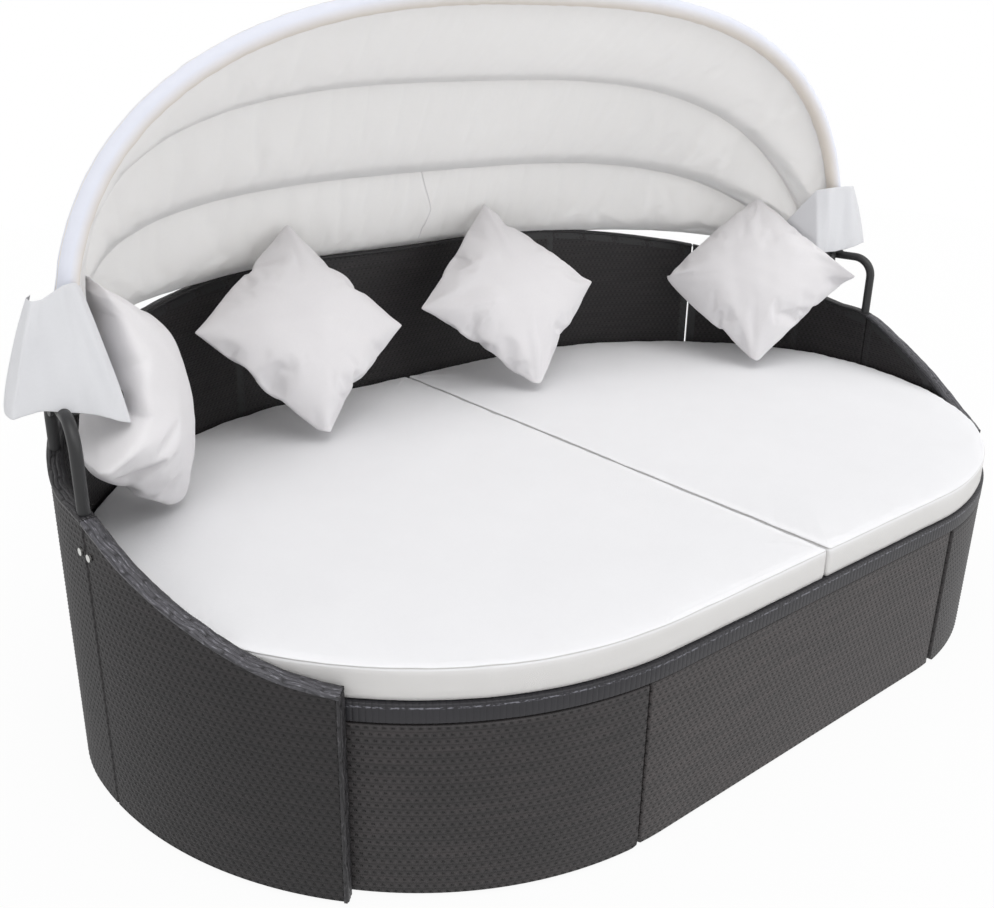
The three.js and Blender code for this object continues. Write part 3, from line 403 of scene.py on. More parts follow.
def front_station(half_width):
    """Station on the front where the seat's outer face has this half width."""
    angle = math.asin(max(half_width - FRONT_CENTRE_X, 0) / (FRONT_CORNER_RADIUS + SEAT_OUTER))
    return HALF_PERIMETER - min(half_width, FRONT_CENTRE_X) - FRONT_CORNER_RADIUS * angle


# Materials

def node(tree, kind, **values):
    made = tree.nodes.new(kind)
    for key, value in values.items():
        if hasattr(made, key):
            setattr(made, key, value)
        else:
            made.inputs[key].default_value = value
    return made


def feed(tree, socket, value):
    """Gives a socket a shader value, a colour or a number."""
    if isinstance(value, Shade):
        tree.links.new(value.socket, socket)
    else:
        socket.default_value = (*value, 1) if isinstance(value, tuple) else value


class Shade:
    """A shader value; arithmetic on it adds math nodes."""

    def __init__(self, tree, socket):
        self.tree = tree
        self.socket = socket

    def math(self, operation, *others, clamp=False):
        made = node(self.tree, "ShaderNodeMath", operation=operation, use_clamp=clamp)
        for socket, value in zip(made.inputs, (self, *others)):
            feed(self.tree, socket, value)
        return Shade(self.tree, made.outputs[0])

    def __add__(self, other):
        return self.math("ADD", other)

    def __sub__(self, other):
        return self.math("SUBTRACT", other)

    def __rsub__(self, other):
        return self.math("MULTIPLY_ADD", -1.0, other)

    def __mul__(self, other):
        return self.math("MULTIPLY", other)

    def __truediv__(self, other):
        return self.math("DIVIDE", other)

    def __pow__(self, other):
        return self.math("POWER", other)

    def __abs__(self):
        return self.math("ABSOLUTE")

    def clamped(self):
        return self.math("ADD", 0.0, clamp=True)

    def mix(self, first, second):
        """Goes from the first colour to the second as this value goes from 0 to 1."""
        made = node(self.tree, "ShaderNodeMix", data_type="RGBA")
        for place, value in (("Factor", self), (6, first), (7, second)):
            feed(self.tree, made.inputs[place], value)
        return Shade(self.tree, made.outputs[2])


def noise(tree, place, scale=1.0, detail=3.0, stretch=None):
    """Smooth noise over a place socket."""
    if stretch:
        mapping = node(tree, "ShaderNodeMapping", Scale=stretch)
        tree.links.new(place, mapping.inputs["Vector"])
        place = mapping.outputs[0]
    made = node(tree, "ShaderNodeTexNoise", Scale=scale, Detail=detail)
    tree.links.new(place, made.inputs["Vector"])
    return Shade(tree, made.outputs[0])


def split_axes(tree, socket):
    split = node(tree, "ShaderNodeSeparateXYZ")
    tree.links.new(socket, split.inputs[0])
    return [Shade(tree, output) for output in split.outputs]


def tinted(color, *share):
    return tuple(c * s for c, s in zip(color, share * (3 // len(share))))


def principled(name, color, roughness, metallic=0.0, specular=0.5, sheen=0.0):
    """A material with its shader; returns both and the tree."""
    material = bpy.data.materials.new(name)
    material.use_nodes = True
    shader = material.node_tree.nodes["Principled BSDF"]
    shader.inputs["Base Color"].default_value = (*color, 1)
    shader.inputs["Roughness"].default_value = roughness
    shader.inputs["Metallic"].default_value = metallic
    shader.inputs["Specular IOR Level"].default_value = specular
    shader.inputs["Sheen Weight"].default_value = sheen
    return material, shader, material.node_tree


def uv_place(tree):
    return node(tree, "ShaderNodeUVMap").outputs["UV"]


def finish_look(shader, color, relief, distance, strength=1.0):
    """Connects a colour and a relief to the shader."""
    tree = color.tree
    feed(tree, shader.inputs["Base Color"], color)
    bump = node(tree, "ShaderNodeBump", Strength=strength, Distance=distance)
    feed(tree, bump.inputs["Height"], relief)
    tree.links.new(bump.outputs["Normal"], shader.inputs["Normal"])


def strand_grain(tree, uv, light, dark, stretch):
    """Drawn-out grain of resin strand and slow patches of tone; returns the colour and the grain."""
    grain = noise(tree, uv, stretch=stretch)
    tone = grain * 0.5 + 0.05 + noise(tree, uv, 7.0, 2.0) * 0.45
    return tone.mix(dark, light), grain


def weave_material(name, light, dark, roughness=0.45):
    """Flat resin strand woven over and under upright stakes, with painted shade in the gaps where it dips and
    between rows, and painted highlights on its crests.
    """
    material, shader, tree = principled(name, light, roughness, specular=0.3)
    uv = uv_place(tree)
    across, along, _ = split_axes(tree, uv)
    rows = along / ROW_PITCH
    phase = across / (2 * STAKE_PITCH) + rows.math("ROUND").math("MODULO", 2.0) * 0.5
    ridge = abs((rows + 0.5).math("FRACT") - 0.5)
    edge = ((ridge * 2.0 - 0.70).math("MAXIMUM", 0.0) / 0.30).clamped()
    wave = (phase * (2 * math.pi)).math("COSINE") * 0.5 + 0.5
    narrow = ((0.5 - wave) * 2.9).clamped()
    low = (1.0 - ridge * 4.4).clamped()
    dash = (narrow * low ** 0.7).clamped()
    body, grain = strand_grain(tree, uv, light, dark, (60, 900, 1))
    # Lighter warm streaks along the rows: strand tone that changes from row to row, lifted partly as painted
    # sheen.
    row_tone_and_sheen = noise(tree, uv, detail=2.0, stretch=(9, 1 / ROW_PITCH, 1))
    body = (((row_tone_and_sheen - 0.42) * 2.4).clamped() * 0.55).mix(body, tinted(light, 1.55, 1.42, 1.42))
    # Painted highlight on the crests where the strand bulges over a stake.
    crest_highlight = ((wave - 0.70) * 3.3).clamped() * (1.0 - ridge * 2.6).clamped()
    body = (crest_highlight * 0.45).mix(body, tinted(light, 1.7))
    # Painted shade: the row seams and the gaps where the strand dips under a stake are darkened as if shade
    # falls into them.
    shade = (edge * 0.42 + narrow * 0.20 * low).math("MAXIMUM", dash * 0.88)
    finish_look(shader, shade.mix(body, tinted(dark, 0.10)), grain * 0.12 - shade, 0.0010)
    return material


def binding_material(name, light, dark, roughness):
    """Long strands side by side along an edge, dark where one tucks under another, with painted glints and
    painted shade over the inner lanes.
    """
    material, shader, tree = principled(name, light, roughness, specular=0.35)
    uv = uv_place(tree)
    along, lanes, _ = split_axes(tree, uv)
    lane = lanes.math("FLOOR")
    seam = (abs(lanes - lane - 0.5) * 2.0) ** 5.0
    tuck = abs(((along / STRAND_LENGTH + lane * LANE_SHIFT) * math.pi).math("SINE"))
    notch = (1.0 - tuck * 4.5).clamped()
    body, grain = strand_grain(tree, uv, light, dark, (55, 3, 1))
    # Painted glints: bright flecks along the strands stand in for highlights.
    glint = ((noise(tree, uv, stretch=(95, 2.6, 1)) - 0.54) * 6.0).clamped()
    body = glint.mix(body, tinted(light, 2.1))
    # Painted shade: the lanes on the band's inner side are darkened as if in shade.
    inner = ((1.7 - lanes) * 0.8).clamped()
    shade = (seam * 0.75).math("MAXIMUM", notch * 0.8).math("MAXIMUM", inner * 0.6)
    finish_look(shader, shade.mix(body, tinted(dark, 0.2)), grain * 0.3 - shade * 0.6, 0.0010)
    return material


def wrap_material(name, light, dark, roughness):
    """Strand wound round a rail, with a faint line between wraps and painted highlight dashes near the top.
    """
    material, shader, tree = principled(name, light, roughness, specular=0.3)
    uv = uv_place(tree)
    along, around, _ = split_axes(tree, uv)
    line = (abs((along / WRAP_PITCH).math("FRACT") - 0.5) * 2.0) ** 7.0
    body, grain = strand_grain(tree, uv, light, dark, (900, 60, 1))
    body = (line * 0.22).mix(body, tinted(dark, 0.15))
    # Painted highlights: light dashes in a band near the rail's top.
    band = (1.0 - abs(around - HIGHLIGHT_HEIGHT) / HIGHLIGHT_BAND).clamped()
    top_highlight = ((noise(tree, uv, detail=2.0, stretch=(150, 420, 1)) - 0.47) * 9.0).clamped() * band
    finish_look(shader, top_highlight.mix(body, (0.20, 0.20, 0.23)), grain * 0.15 - line * 0.3, 0.0008)
    return material


def cloth_material(name, color, shade, thread=900.0, crumple=0.0006):
    """Plain woven cloth: two crossing sets of threads, soft unevenness and faint shade changes."""
    material, shader, tree = principled(name, color, 0.85, specular=0.25, sheen=0.15)
    shader.inputs["Sheen Roughness"].default_value = 0.6
    uv = uv_place(tree)
    waves = []
    for direction in ("X", "Y"):
        wave = node(tree, "ShaderNodeTexWave", wave_type="BANDS", bands_direction=direction, Scale=thread)
        wave.inputs["Distortion"].default_value = 1.5
        wave.inputs["Detail"].default_value = 1.0
        tree.links.new(uv, wave.inputs["Vector"])
        waves.append(Shade(tree, wave.outputs["Fac"]))
    soft = noise(tree, uv, 14.0, 4.0)
    slub = noise(tree, uv, 160.0, 2.0)
    tone = soft * 0.6 + slub * 0.4
    relief = waves[0] * waves[1] * 0.0004 + soft * crumple
    finish_look(shader, tone.mix(shade, color), relief, 1.0, 0.6)
    return material


def shade_over(material, share, color):
    """Lays another colour over a cloth where the share is high."""
    base = material.node_tree.nodes["Principled BSDF"].inputs["Base Color"]
    feed(material.node_tree, base, share.mix(Shade(share.tree, base.links[0].from_socket), color))


def sleeve_material(name, outside, inside):
    """Padded sleeve: its outer side painted cool as sky light falls on it, its inner side warm like the
    canopy cloth.
    """
    material = cloth_material(name, outside, tinted(outside, 0.95))
    tree = material.node_tree
    _, around, _ = split_axes(tree, uv_place(tree))
    turn = (around / SLEEVE_RADIUS).math("COSINE")
    shade_over(material, (turn * -0.9 + 0.15).clamped(), inside)
    return material


def paint_shade_on_sides(material, side):
    """Paints shade on upright faces, a darker colour standing in for the lesser light that falls on a
    mattress's sides.
    """
    tree = material.node_tree
    _, _, upward = split_axes(tree, node(tree, "ShaderNodeNewGeometry").outputs["Normal"])
    shade_over(material, (1.0 - upward * 1.6).clamped(), side)


def let_light_through(material):
    """Thin cloth that glows a little with the light behind it."""
    shader = material.node_tree.nodes["Principled BSDF"]
    shader.inputs["Subsurface Weight"].default_value = 0.5
    shader.inputs["Subsurface Radius"].default_value = (1.0, 0.95, 0.9)
    shader.inputs["Subsurface Scale"].default_value = 0.01


def plain_material(name, color, roughness, metallic=0.0):
    """Painted, moulded or plated surface with slightly uneven gloss."""
    material, shader, tree = principled(name, color, roughness, metallic)
    grain = noise(tree, node(tree, "ShaderNodeTexCoord").outputs["Object"], 300.0)
    feed(tree, shader.inputs["Roughness"], grain * 0.25 + (roughness - 0.125))
    bump = node(tree, "ShaderNodeBump", Strength=0.5, Distance=0.0001)
    feed(tree, bump.inputs["Height"], grain)
    tree.links.new(bump.outputs["Normal"], shader.inputs["Normal"])
    return material


WICKER = weave_material("wicker", (0.0228, 0.0208, 0.0218), (0.0102, 0.0094, 0.0099))
# The seat front's panels are the same wicker painted lighter, standing in for the light that falls on them;
# the middle panel lightest.
WICKER_SEAT_PAINTED_LIGHTER = weave_material("wicker_seat_painted_lighter", (0.038, 0.035, 0.036), (0.018, 0.0165, 0.017))
WICKER_FRONT_PAINTED_LIGHTER = weave_material("wicker_front_painted_lighter", (0.052, 0.0465, 0.0465), (0.028, 0.025, 0.0255))
EDGE_STRANDS = binding_material("edge_strands", (0.105, 0.103, 0.116), (0.028, 0.027, 0.031), 0.40)
DARK_STRANDS = binding_material("dark_strands", (0.038, 0.036, 0.039), (0.014, 0.0135, 0.015), 0.45)
WRAP = wrap_material("rim_wrap", (0.034, 0.033, 0.038), (0.016, 0.0155, 0.018), 0.45)
MATTRESS = cloth_material("mattress_cover", (0.90, 0.90, 0.92), (0.86, 0.86, 0.88))
# Painted shade on the mattress's upright sides.
paint_shade_on_sides(MATTRESS, (0.70, 0.69, 0.68))
CANVAS = cloth_material("canopy_canvas", (0.90, 0.885, 0.87), (0.86, 0.845, 0.83), crumple=0.0012)
# The front canopy panel is the same canvas painted lighter, standing in for the extra light it catches.
CANVAS_FRONT_PAINTED_LIGHTER = cloth_material("canopy_canvas_front_painted_lighter", (0.97, 0.95, 0.93), (0.94, 0.92, 0.90), crumple=0.0012)
for canvas in (CANVAS, CANVAS_FRONT_PAINTED_LIGHTER):
    let_light_through(canvas)
FLAP = cloth_material("flap_canvas", (0.755, 0.76, 0.785), (0.70, 0.705, 0.73))
# The sleeve's cool outer colour is painted sky light.
SLEEVE = sleeve_material("sleeve_canvas", (0.80, 0.82, 0.91), (0.80, 0.74, 0.67))
LINEN = cloth_material("pillow_linen", (0.79, 0.775, 0.79), (0.74, 0.725, 0.74), 700.0, 0.001)
STEEL = plain_material("frame_paint", (0.012, 0.012, 0.013), 0.42)
BOW_PAINT = plain_material("bow_paint", (0.020, 0.020, 0.021), 0.45)
ZINC = plain_material("zinc", (0.60, 0.60, 0.58), 0.3, 1.0)
NYLON = plain_material("nylon", (0.015, 0.015, 0.015), 0.6)

for name, cad_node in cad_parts.items():
    if name.startswith("foot"):
        finish = NYLON
    elif name.startswith("seam_bolt"):
        finish = ZINC
    elif name.endswith("_bow"):
        finish = BOW_PAINT
    else:
        finish = STEEL
    cad_node.data.materials.clear()
    cad_node.data.materials.append(finish)


# Woven panels

def woven_panel(name, start, end, outer, top, replaced, round_ends=(), grooves=(), material=WICKER):
    """A woven panel between two stations, with relief on both faces, standing in for its skin."""
    first = math.ceil(start / STAKE_PITCH + 0.6)
    last = math.floor(end / STAKE_PITCH - 0.6)
    stakes = np.arange(first, last + 1)
    stations = np.concatenate([[start, start + SEAM_WIDTH], stakes * STAKE_PITCH, [end - SEAM_WIDTH, end]])
    stakes = np.concatenate([[first - 1, first - 1], stakes, [last + 1, last + 1]])
    sunk = np.zeros(len(stations))
    sunk[[0, -1]] = SEAM_DEPTH
    for groove in grooves:
        sunk[np.argmin(np.abs(stations - groove))] = GROOVE_DEPTH
    tops = top(stations)[:, None]
    half_row = ROW_PITCH / 2
    rows = np.arange(math.ceil(PANEL_BOTTOM / half_row + 0.2), math.ceil(tops.max() / half_row) + 1)
    levels = np.concatenate([[PANEL_BOTTOM], rows * half_row])
    rows = np.concatenate([[1], rows])
    steps = np.arange(len(levels))
    reach = np.argmax(levels >= tops - half_row * 0.3, axis=1)
    at_top = steps >= reach[:, None]
    level_grid = np.where(at_top, tops, np.minimum(levels, tops))
    for corner in round_ends:
        near = np.clip(1 - np.abs(stations - corner) / CORNER_ROUND, 0, 1)
        lift = CORNER_ROUND * (1 - np.sqrt(1 - near ** 2))[:, None]
        lowest = PANEL_BOTTOM + lift + LEVEL_STEP * steps
        level_grid = np.where(lift > 0, np.maximum(level_grid, lowest), level_grid)
    edge = np.where(at_top, 0.0, 1.0)
    edge[:, 0] = 0
    edge[[0, 1, -2, -1]] = 0
    over = np.where((stakes[:, None] + rows // 2) % 2 == 0, 1.0, -1.0)
    relief = WEAVE_RELIEF * np.where(rows % 2 == 0, over, -0.6) * edge - sunk[:, None]
    station_grid = np.broadcast_to(stations[:, None], level_grid.shape)
    points = []
    for offsets in (outer - WEAVE_INSET + relief, outer - PANEL_THICKNESS + WEAVE_INSET - relief):
        points.append(joined(*outline(station_grid, offsets), level_grid).reshape(-1, 3))
    points = np.concatenate(points)
    uvs = np.concatenate([joined(station_grid, level_grid).reshape(-1, 2)] * 2)
    count = level_grid.size
    index = np.minimum(steps, reach[:, None]) + np.arange(len(stations))[:, None] * len(levels)
    faces = []
    for j in range(len(stations) - 1):
        left, right = index[j], index[j + 1]
        for k in range(max(reach[j], reach[j + 1])):
            ring = tuple(dict.fromkeys((left[k], right[k], right[k + 1], left[k + 1])))
            if len(ring) > 2:
                faces += [ring, tuple(c + count for c in reversed(ring))]
        faces += [(left[k], right[k], right[k] + count, left[k] + count) for k in (0, -1)]
    for column, top_step in ((index[0], reach[0]), (index[-1], reach[-1])):
        pairs = zip(column[:top_step], column[1:top_step + 1])
        faces += [(low, high, high + count, low + count) for low, high in pairs]
    used = np.unique(np.concatenate([np.array(f) for f in faces]))
    renumber = np.full(2 * count, -1)
    renumber[used] = np.arange(len(used))
    faces = [tuple(int(renumber[c]) for c in f) for f in faces]
    obj = outward(new_object(name, points[used], faces, uvs[used]))
    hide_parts(replaced)
    dress(obj, "base", material)


def binding(name, path, across, up, length, material):
    """A band of strands along a path, laid across the edge and standing a little above it."""
    places = np.linspace(0, BINDING_LANES, BINDING_LANES * LANE_POINTS + 1)
    half_width = PANEL_THICKNESS / 2 + BINDING_PROUD
    drift = (0.22 * np.sin(length * 47.0) + 0.16 * np.sin(length * 119.0 + 1.1))[:, None]
    lanes = np.floor(places + drift)
    body = 1 - np.abs(2 * (places + drift - lanes) - 1) ** 3
    tuck = np.abs(np.sin(math.pi * (length[:, None] / STRAND_LENGTH + LANE_SHIFT * lanes))) ** 0.4
    share = 2 * places / BINDING_LANES - 1
    rise = 0.0004 + STRAND_HEIGHT * body * tuck + BINDING_CROWN * (1 - share ** 4) - BINDING_SINK
    low = np.full((len(length), 1), -BINDING_DEPTH)
    rise = np.concatenate([low, rise, low], axis=1)[..., None]
    share = np.concatenate([[-1], share, [1]])[:, None]
    rings = path[:, None] + across[:, None] * share * half_width + up[:, None] * rise
    round_it = np.concatenate([[-0.3], places, [BINDING_LANES + 0.3]]) + drift
    dress(ring_body(name, rings, length, round_it), "base", material)


def top_binding(name, start, end, material):
    count = max(int((end - start) / BINDING_STEP), 8)
    stations = np.linspace(start, end, count + 1)
    top = shell_top(stations)
    centre = joined(*outline(stations, -PANEL_THICKNESS / 2), top)
    across = unit(joined(*outline(stations), top) - centre)
    up = np.cross(unit(np.gradient(centre, axis=0)), across)
    binding(name, centre, across, up * np.sign(up[:, 2:3]), stations, material)


def end_binding(name, station, low, high, material):
    """The same band down the free vertical end of a wing."""
    count = int((high - low) / BINDING_STEP)
    heights = np.linspace(low, high, count + 1)
    tip = np.array(outline(station, -PANEL_THICKNESS / 2))
    inner = np.array(outline(station - math.copysign(0.01, station), -PANEL_THICKNESS / 2))
    across = unit(np.array(outline(station)) - tip)
    centre = joined(*tip, heights)
    frames = [np.tile([*direction, 0], (count + 1, 1)) for direction in (across, unit(tip - inner))]
    binding(name, centre, *frames, heights, material)


# Shell and seat front

def span_on(side, start, end):
    return (start, end) if side > 0 else (-end, -start)


def build_shell():
    end = BACK_GAP_STATION - BACK_SEAM_GAP
    grooves = (-BACK_GROOVE_STATION, BACK_GROOVE_STATION)
    woven_panel("woven_back", -end, end, 0.0, shell_top, "back_panel_skin", grooves=grooves)
    top_binding("back_binding", -end, end, DARK_STRANDS)
    spans = {
        "side_panel": (BACK_GAP_STATION + BACK_SEAM_GAP, WING_SEAM_STATION - PANEL_GAP / 2, DARK_STRANDS),
        "wing": (WING_SEAM_STATION + PANEL_GAP / 2, WING_END_STATION, EDGE_STRANDS),
    }
    for label, side in (("left", -1), ("right", 1)):
        for part, (start, end, material) in spans.items():
            span = span_on(side, start, end)
            woven_panel(f"woven_{part}_{label}", *span, 0.0, shell_top, f"{part}_{label}_skin")
            top_binding(f"{part}_{label}_binding", *span, material)
        high = float(shell_top(WING_END_STATION)) + 0.001
        end_binding(f"wing_{label}_end_binding", side * WING_END_STATION, PANEL_BOTTOM, high, DARK_STRANDS)


def front_top(station):
    return np.full_like(station, FRONT_PANEL_TOP)


def build_front():
    edge = front_station(FRONT_PANEL_HALF_WIDTH)
    end = edge - FRONT_PANEL_GAP / 2
    for label, side in (("left", -1), ("right", 1)):
        span = span_on(side, FRONT_PANEL_START, end)
        replaced = f"front_panel_{label}_skin"
        name = f"woven_front_{label}"
        woven_panel(name, *span, SEAT_OUTER, front_top, replaced, (side * end,), material=WICKER_SEAT_PAINTED_LIGHTER)
    start = edge + FRONT_PANEL_GAP / 2
    span = start, 2 * HALF_PERIMETER - start
    outer = SEAT_OUTER - MIDDLE_PANEL_RECESS
    replaced = "front_panel_middle_skin"
    woven_panel("woven_front_middle", *span, outer, front_top, replaced, material=WICKER_FRONT_PAINTED_LIGHTER)


def build_rim(name, start, end, replaced):
    """A rail wrapped with flat strand, one wrap beside the next."""
    stations = np.arange(start, end, WRAP_PITCH / 6)[:, None]
    across, up = np.array(RIM_SECTION_SHARES).T
    swell = WRAP_RELIEF * (1 - np.abs(2 * ((stations / WRAP_PITCH) % 1.0) - 1) ** 5)
    offset = SEAT_OUTER - WRAP_RELIEF + swell * (across < 0.05) - across * (PANEL_THICKNESS - WRAP_RELIEF)
    height = RIM_BOTTOM + (RIM_TOP - RIM_BOTTOM - WRAP_RELIEF) * up + swell * (up > 0.94)
    rings = joined(*outline(np.broadcast_to(stations, offset.shape), offset), height)
    obj = ring_body(name, rings, stations[:, 0])
    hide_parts(replaced)
    dress(obj, "base", WRAP)


# Mattress halves
MATTRESS_OFFSET = -0.027
MATTRESS_BOTTOM, MATTRESS_TOP = (corner[2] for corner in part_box("mattress_left"))
MATTRESS_CROWN = 0.009
MATTRESS_GAP = 0.002
MATTRESS_CORNER = 0.007
MATTRESS_SWELL = 0.0016
MATTRESS_INSET = 0.27
MATTRESS_PROFILE = (
    (0.030, 0.0), (0.008, 0.0), (0.0022, 0.04), (0.0004, 0.16), (0.0, 0.34), (0.0, 0.54), (0.0002, 0.72),
    (0.0008, 0.83), (0.0018, 0.885), (0.0032, 0.905), (0.0020, 0.922), (0.0028, 0.945), (0.0062, 0.958),
    (0.0120, 0.965),
)


def mattress_loop(side, inset):
    """Plan of one half at a distance inside its edge, rounded at the two corners on the split."""
    split = MATTRESS_GAP / 2 + inset
    corner = max(MATTRESS_CORNER - inset, 0.0012)
    stations = np.linspace(split + corner, HALF_PERIMETER - split - corner, 420)
    x, y = outline(stations, MATTRESS_OFFSET - inset)
    arcs = []
    for centre_y, start in ((y[-1] + corner, -90), (y[0] - corner, 180)):
        angles = np.radians(np.linspace(start, start - 90, 9))[1:-1]
        arcs.append(joined(split + corner + corner * np.cos(angles), centre_y + corner * np.sin(angles)))
    line = joined(split, np.linspace(y[-1] + corner, y[0] - corner, 140))
    return np.concatenate([joined(x, y), arcs[0], line, arcs[1]]) * (side, 1)


def build_mattress(label, side):
    edge = mattress_loop(side, 0.0)
    lengths = run(edge)
    seed = 11 if side < 0 else 12
    pucker = soft_noise(joined(lengths, 0), seed, 0.075)
    sway = soft_noise(joined(lengths, 0), seed + 7, 0.5)
    height = MATTRESS_TOP - MATTRESS_CROWN - MATTRESS_BOTTOM
    crown_base = MATTRESS_BOTTOM + height - 0.002
    outwards = unit(edge - mattress_loop(side, 0.004))
    rings = []
    uvs = []
    for inset, share in MATTRESS_PROFILE:
        ripple = (0.0009 * pucker + 0.0012 * sway - 0.0016) * math.sin(math.pi * share) ** 0.5
        seam = 0.0011 * pucker * math.exp(-((share - 0.93) / 0.06) ** 2)
        ring = mattress_loop(side, inset) + outwards * ripple[:, None]
        rings.append(np.column_stack([ring, MATTRESS_BOTTOM + height * share + seam]))
        uvs.append(edge + outwards * height * (1 - share))
    for inset in (*np.linspace(0.018, 0.06, 7), *np.linspace(0.075, MATTRESS_INSET, 14)):
        ring = mattress_loop(side, inset)
        rise = MATTRESS_CROWN * (1 - np.exp(-(inset - 0.010) / 0.06))
        fade = 1 - math.exp(-(inset - 0.015) / 0.05)
        pull = 0.0010 * pucker * math.exp(-(inset - 0.015) / 0.03)
        swell = MATTRESS_SWELL * soft_noise(ring, seed + 5, 0.45) * fade
        rings.append(np.column_stack([ring, crown_base + rise + swell + pull]))
        uvs.append(ring)
    inner = rings[-1][:, :2]
    for share in np.linspace(0, 1, 11)[1:-1]:
        ring = inner + (inner.mean(axis=0) - inner) * share
        swell = MATTRESS_SWELL * soft_noise(ring, seed + 5, 0.45)
        rings.append(np.column_stack([ring, crown_base + MATTRESS_CROWN + swell]))
        uvs.append(ring)
    obj = ring_body(f"mattress_cushion_{label}", rings, uvs=np.array(uvs))
    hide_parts(f"mattress_{label}")
    dress(obj, "base", MATTRESS)


# Pillows: a square bag blown up a little and stood on one corner
PILLOW_SIDE = 0.322
PILLOW_THICKNESS = 0.125
PILLOW_EAR = 0.05
PILLOW_CREASE = 0.0024
BAG_STEPS = 52
BAG_BOW = 0.09
BAG_HALF = 0.56 * PILLOW_SIDE
# Stiffness in tension, compression, shear and bending
PILLOW_STIFFNESS = (12.0, 12.0, 4.0, 0.3)
# A pillow's reach to the side where it lies against the bows' lower ends, and how it slides along them
PRESS_WALL = 0.8815 - 0.005
PRESS_HEIGHT = 0.605
PRESS_FADE = 0.035
PRESS_FALL = 0.06
PRESS_RELEASE = 0.085
PRESS_CLEAR = 0.745
PRESS_TIP = 0.0165
PRESS_SLIDE = {-1: 2.0, 1: -0.6}
# The corner a pillow stands on folds flat on the mattress
SEAT_HEIGHT = 0.379
SIT_FOLD = 0.045
SIT_SHARE = 0.62
SIT_SPREAD = 0.013
# Centre, direction across, direction up, seed and fullness
PILLOWS = {
    "pillow_left": ((-0.832, 0.153, 0.5980), (0.577, 0.792, 0.198), (-0.293, -0.025, 0.956), 21, 1.30),
    "pillow_back_left": ((-0.386, 0.380, 0.5955), (0.991, -0.064, -0.115), (0.131, 0.510, 0.850), 22, 1.08),
    "pillow_back_right": ((0.168, 0.384, 0.5885), (0.984, -0.175, 0.019), (0.082, 0.548, 0.832), 23, 1.08),
    "pillow_right": ((0.781, 0.160, 0.5890), (0.604, -0.792, 0.087), (0.422, 0.411, 0.808), 24, 1.08),
}


def bag_mesh(name, seed):
    """Two flat square layers joined round the edge, slightly parted."""
    n = BAG_STEPS
    grid = np.linspace(-1, 1, n + 1)
    number = {}
    points, uvs, faces = [], [], []

    def key(i, j, layer):
        return i, j, 0 if i in (0, n) or j in (0, n) else layer

    for layer in (1, -1):
        for i in range(n + 1):
            for j in range(n + 1):
                if key(i, j, layer) in number:
                    continue
                number[key(i, j, layer)] = len(points)
                bulge = 0.012 * ((1 - grid[i] ** 2) * (1 - grid[j] ** 2)) ** 0.5
                wide, tall = 1 + BAG_BOW * (1 - grid[j] ** 2), 1 + BAG_BOW * (1 - grid[i] ** 2)
                points.append((grid[i] * BAG_HALF * wide, grid[j] * BAG_HALF * tall, layer * bulge))
                uvs.append((grid[i] * BAG_HALF + (0 if layer > 0 else 1.0), grid[j] * BAG_HALF))
    points = np.array(points)
    points[:, 2] += 0.002 * soft_noise(points[:, :2], seed, 0.12) * (np.abs(points[:, 2]) > 0)
    for layer in (1, -1):
        for i in range(n):
            for j in range(n):
                corners = ((i, j), (i + 1, j), (i + 1, j + 1), (i, j + 1))[::layer]
                faces.append([number[key(a, b, layer)] for a, b in corners])
    return new_object(name, points, faces, uvs)


def press(values, height):
    """Holds the reach to one side at the canopy's pivots, with a soft shoulder."""
    limit = PRESS_WALL + np.clip((PRESS_HEIGHT - height) / PRESS_FALL, 0, 1) * PRESS_RELEASE
    limit = limit + np.clip((height - PRESS_CLEAR) / PRESS_FADE, 0, 1) * PRESS_TIP
    start = limit - PRESS_FADE
    reach = np.abs(values)
    bent = limit - PRESS_FADE * np.exp(np.minimum((start - reach) / PRESS_FADE, 0))
    return np.sign(values) * np.where(reach > start, bent, reach)


def finish_bag(shape, seed):
    """Brings a refined bag to its full size, draws out its corner tips and gathers the cloth round them."""
    half = PILLOW_SIDE / 2
    shape[:, :2] *= half / ((np.ptp(shape[:, 0]) + np.ptp(shape[:, 1])) / 4)
    away = shape[:, :2] / half
    tip = np.clip(np.abs(away).min(axis=1), 0, 1)
    shape[:, :2] *= (1 + PILLOW_EAR * tip ** 5)[:, None]
    lift = 0.5 * soft_noise(away * half, seed + 3, 0.11)
    for turn, corner in enumerate(((1, 1), (-1, 1), (-1, -1), (1, -1))):
        gap = away - np.array(corner)
        ring = np.exp(-((np.linalg.norm(gap, axis=1) - 0.42) / 0.30) ** 2)
        angle = np.arctan2(gap[:, 1], gap[:, 0])
        lift += ring * np.sin(angle * 9 + seed + 1.7 * turn) * (0.6 + 0.4 * math.sin(seed * 3 + turn))
    body = np.clip(np.abs(shape[:, 2]) / 0.02, 0, 1)
    shape[:, 2] += np.sign(shape[:, 2]) * PILLOW_CREASE * lift * body
    return shape


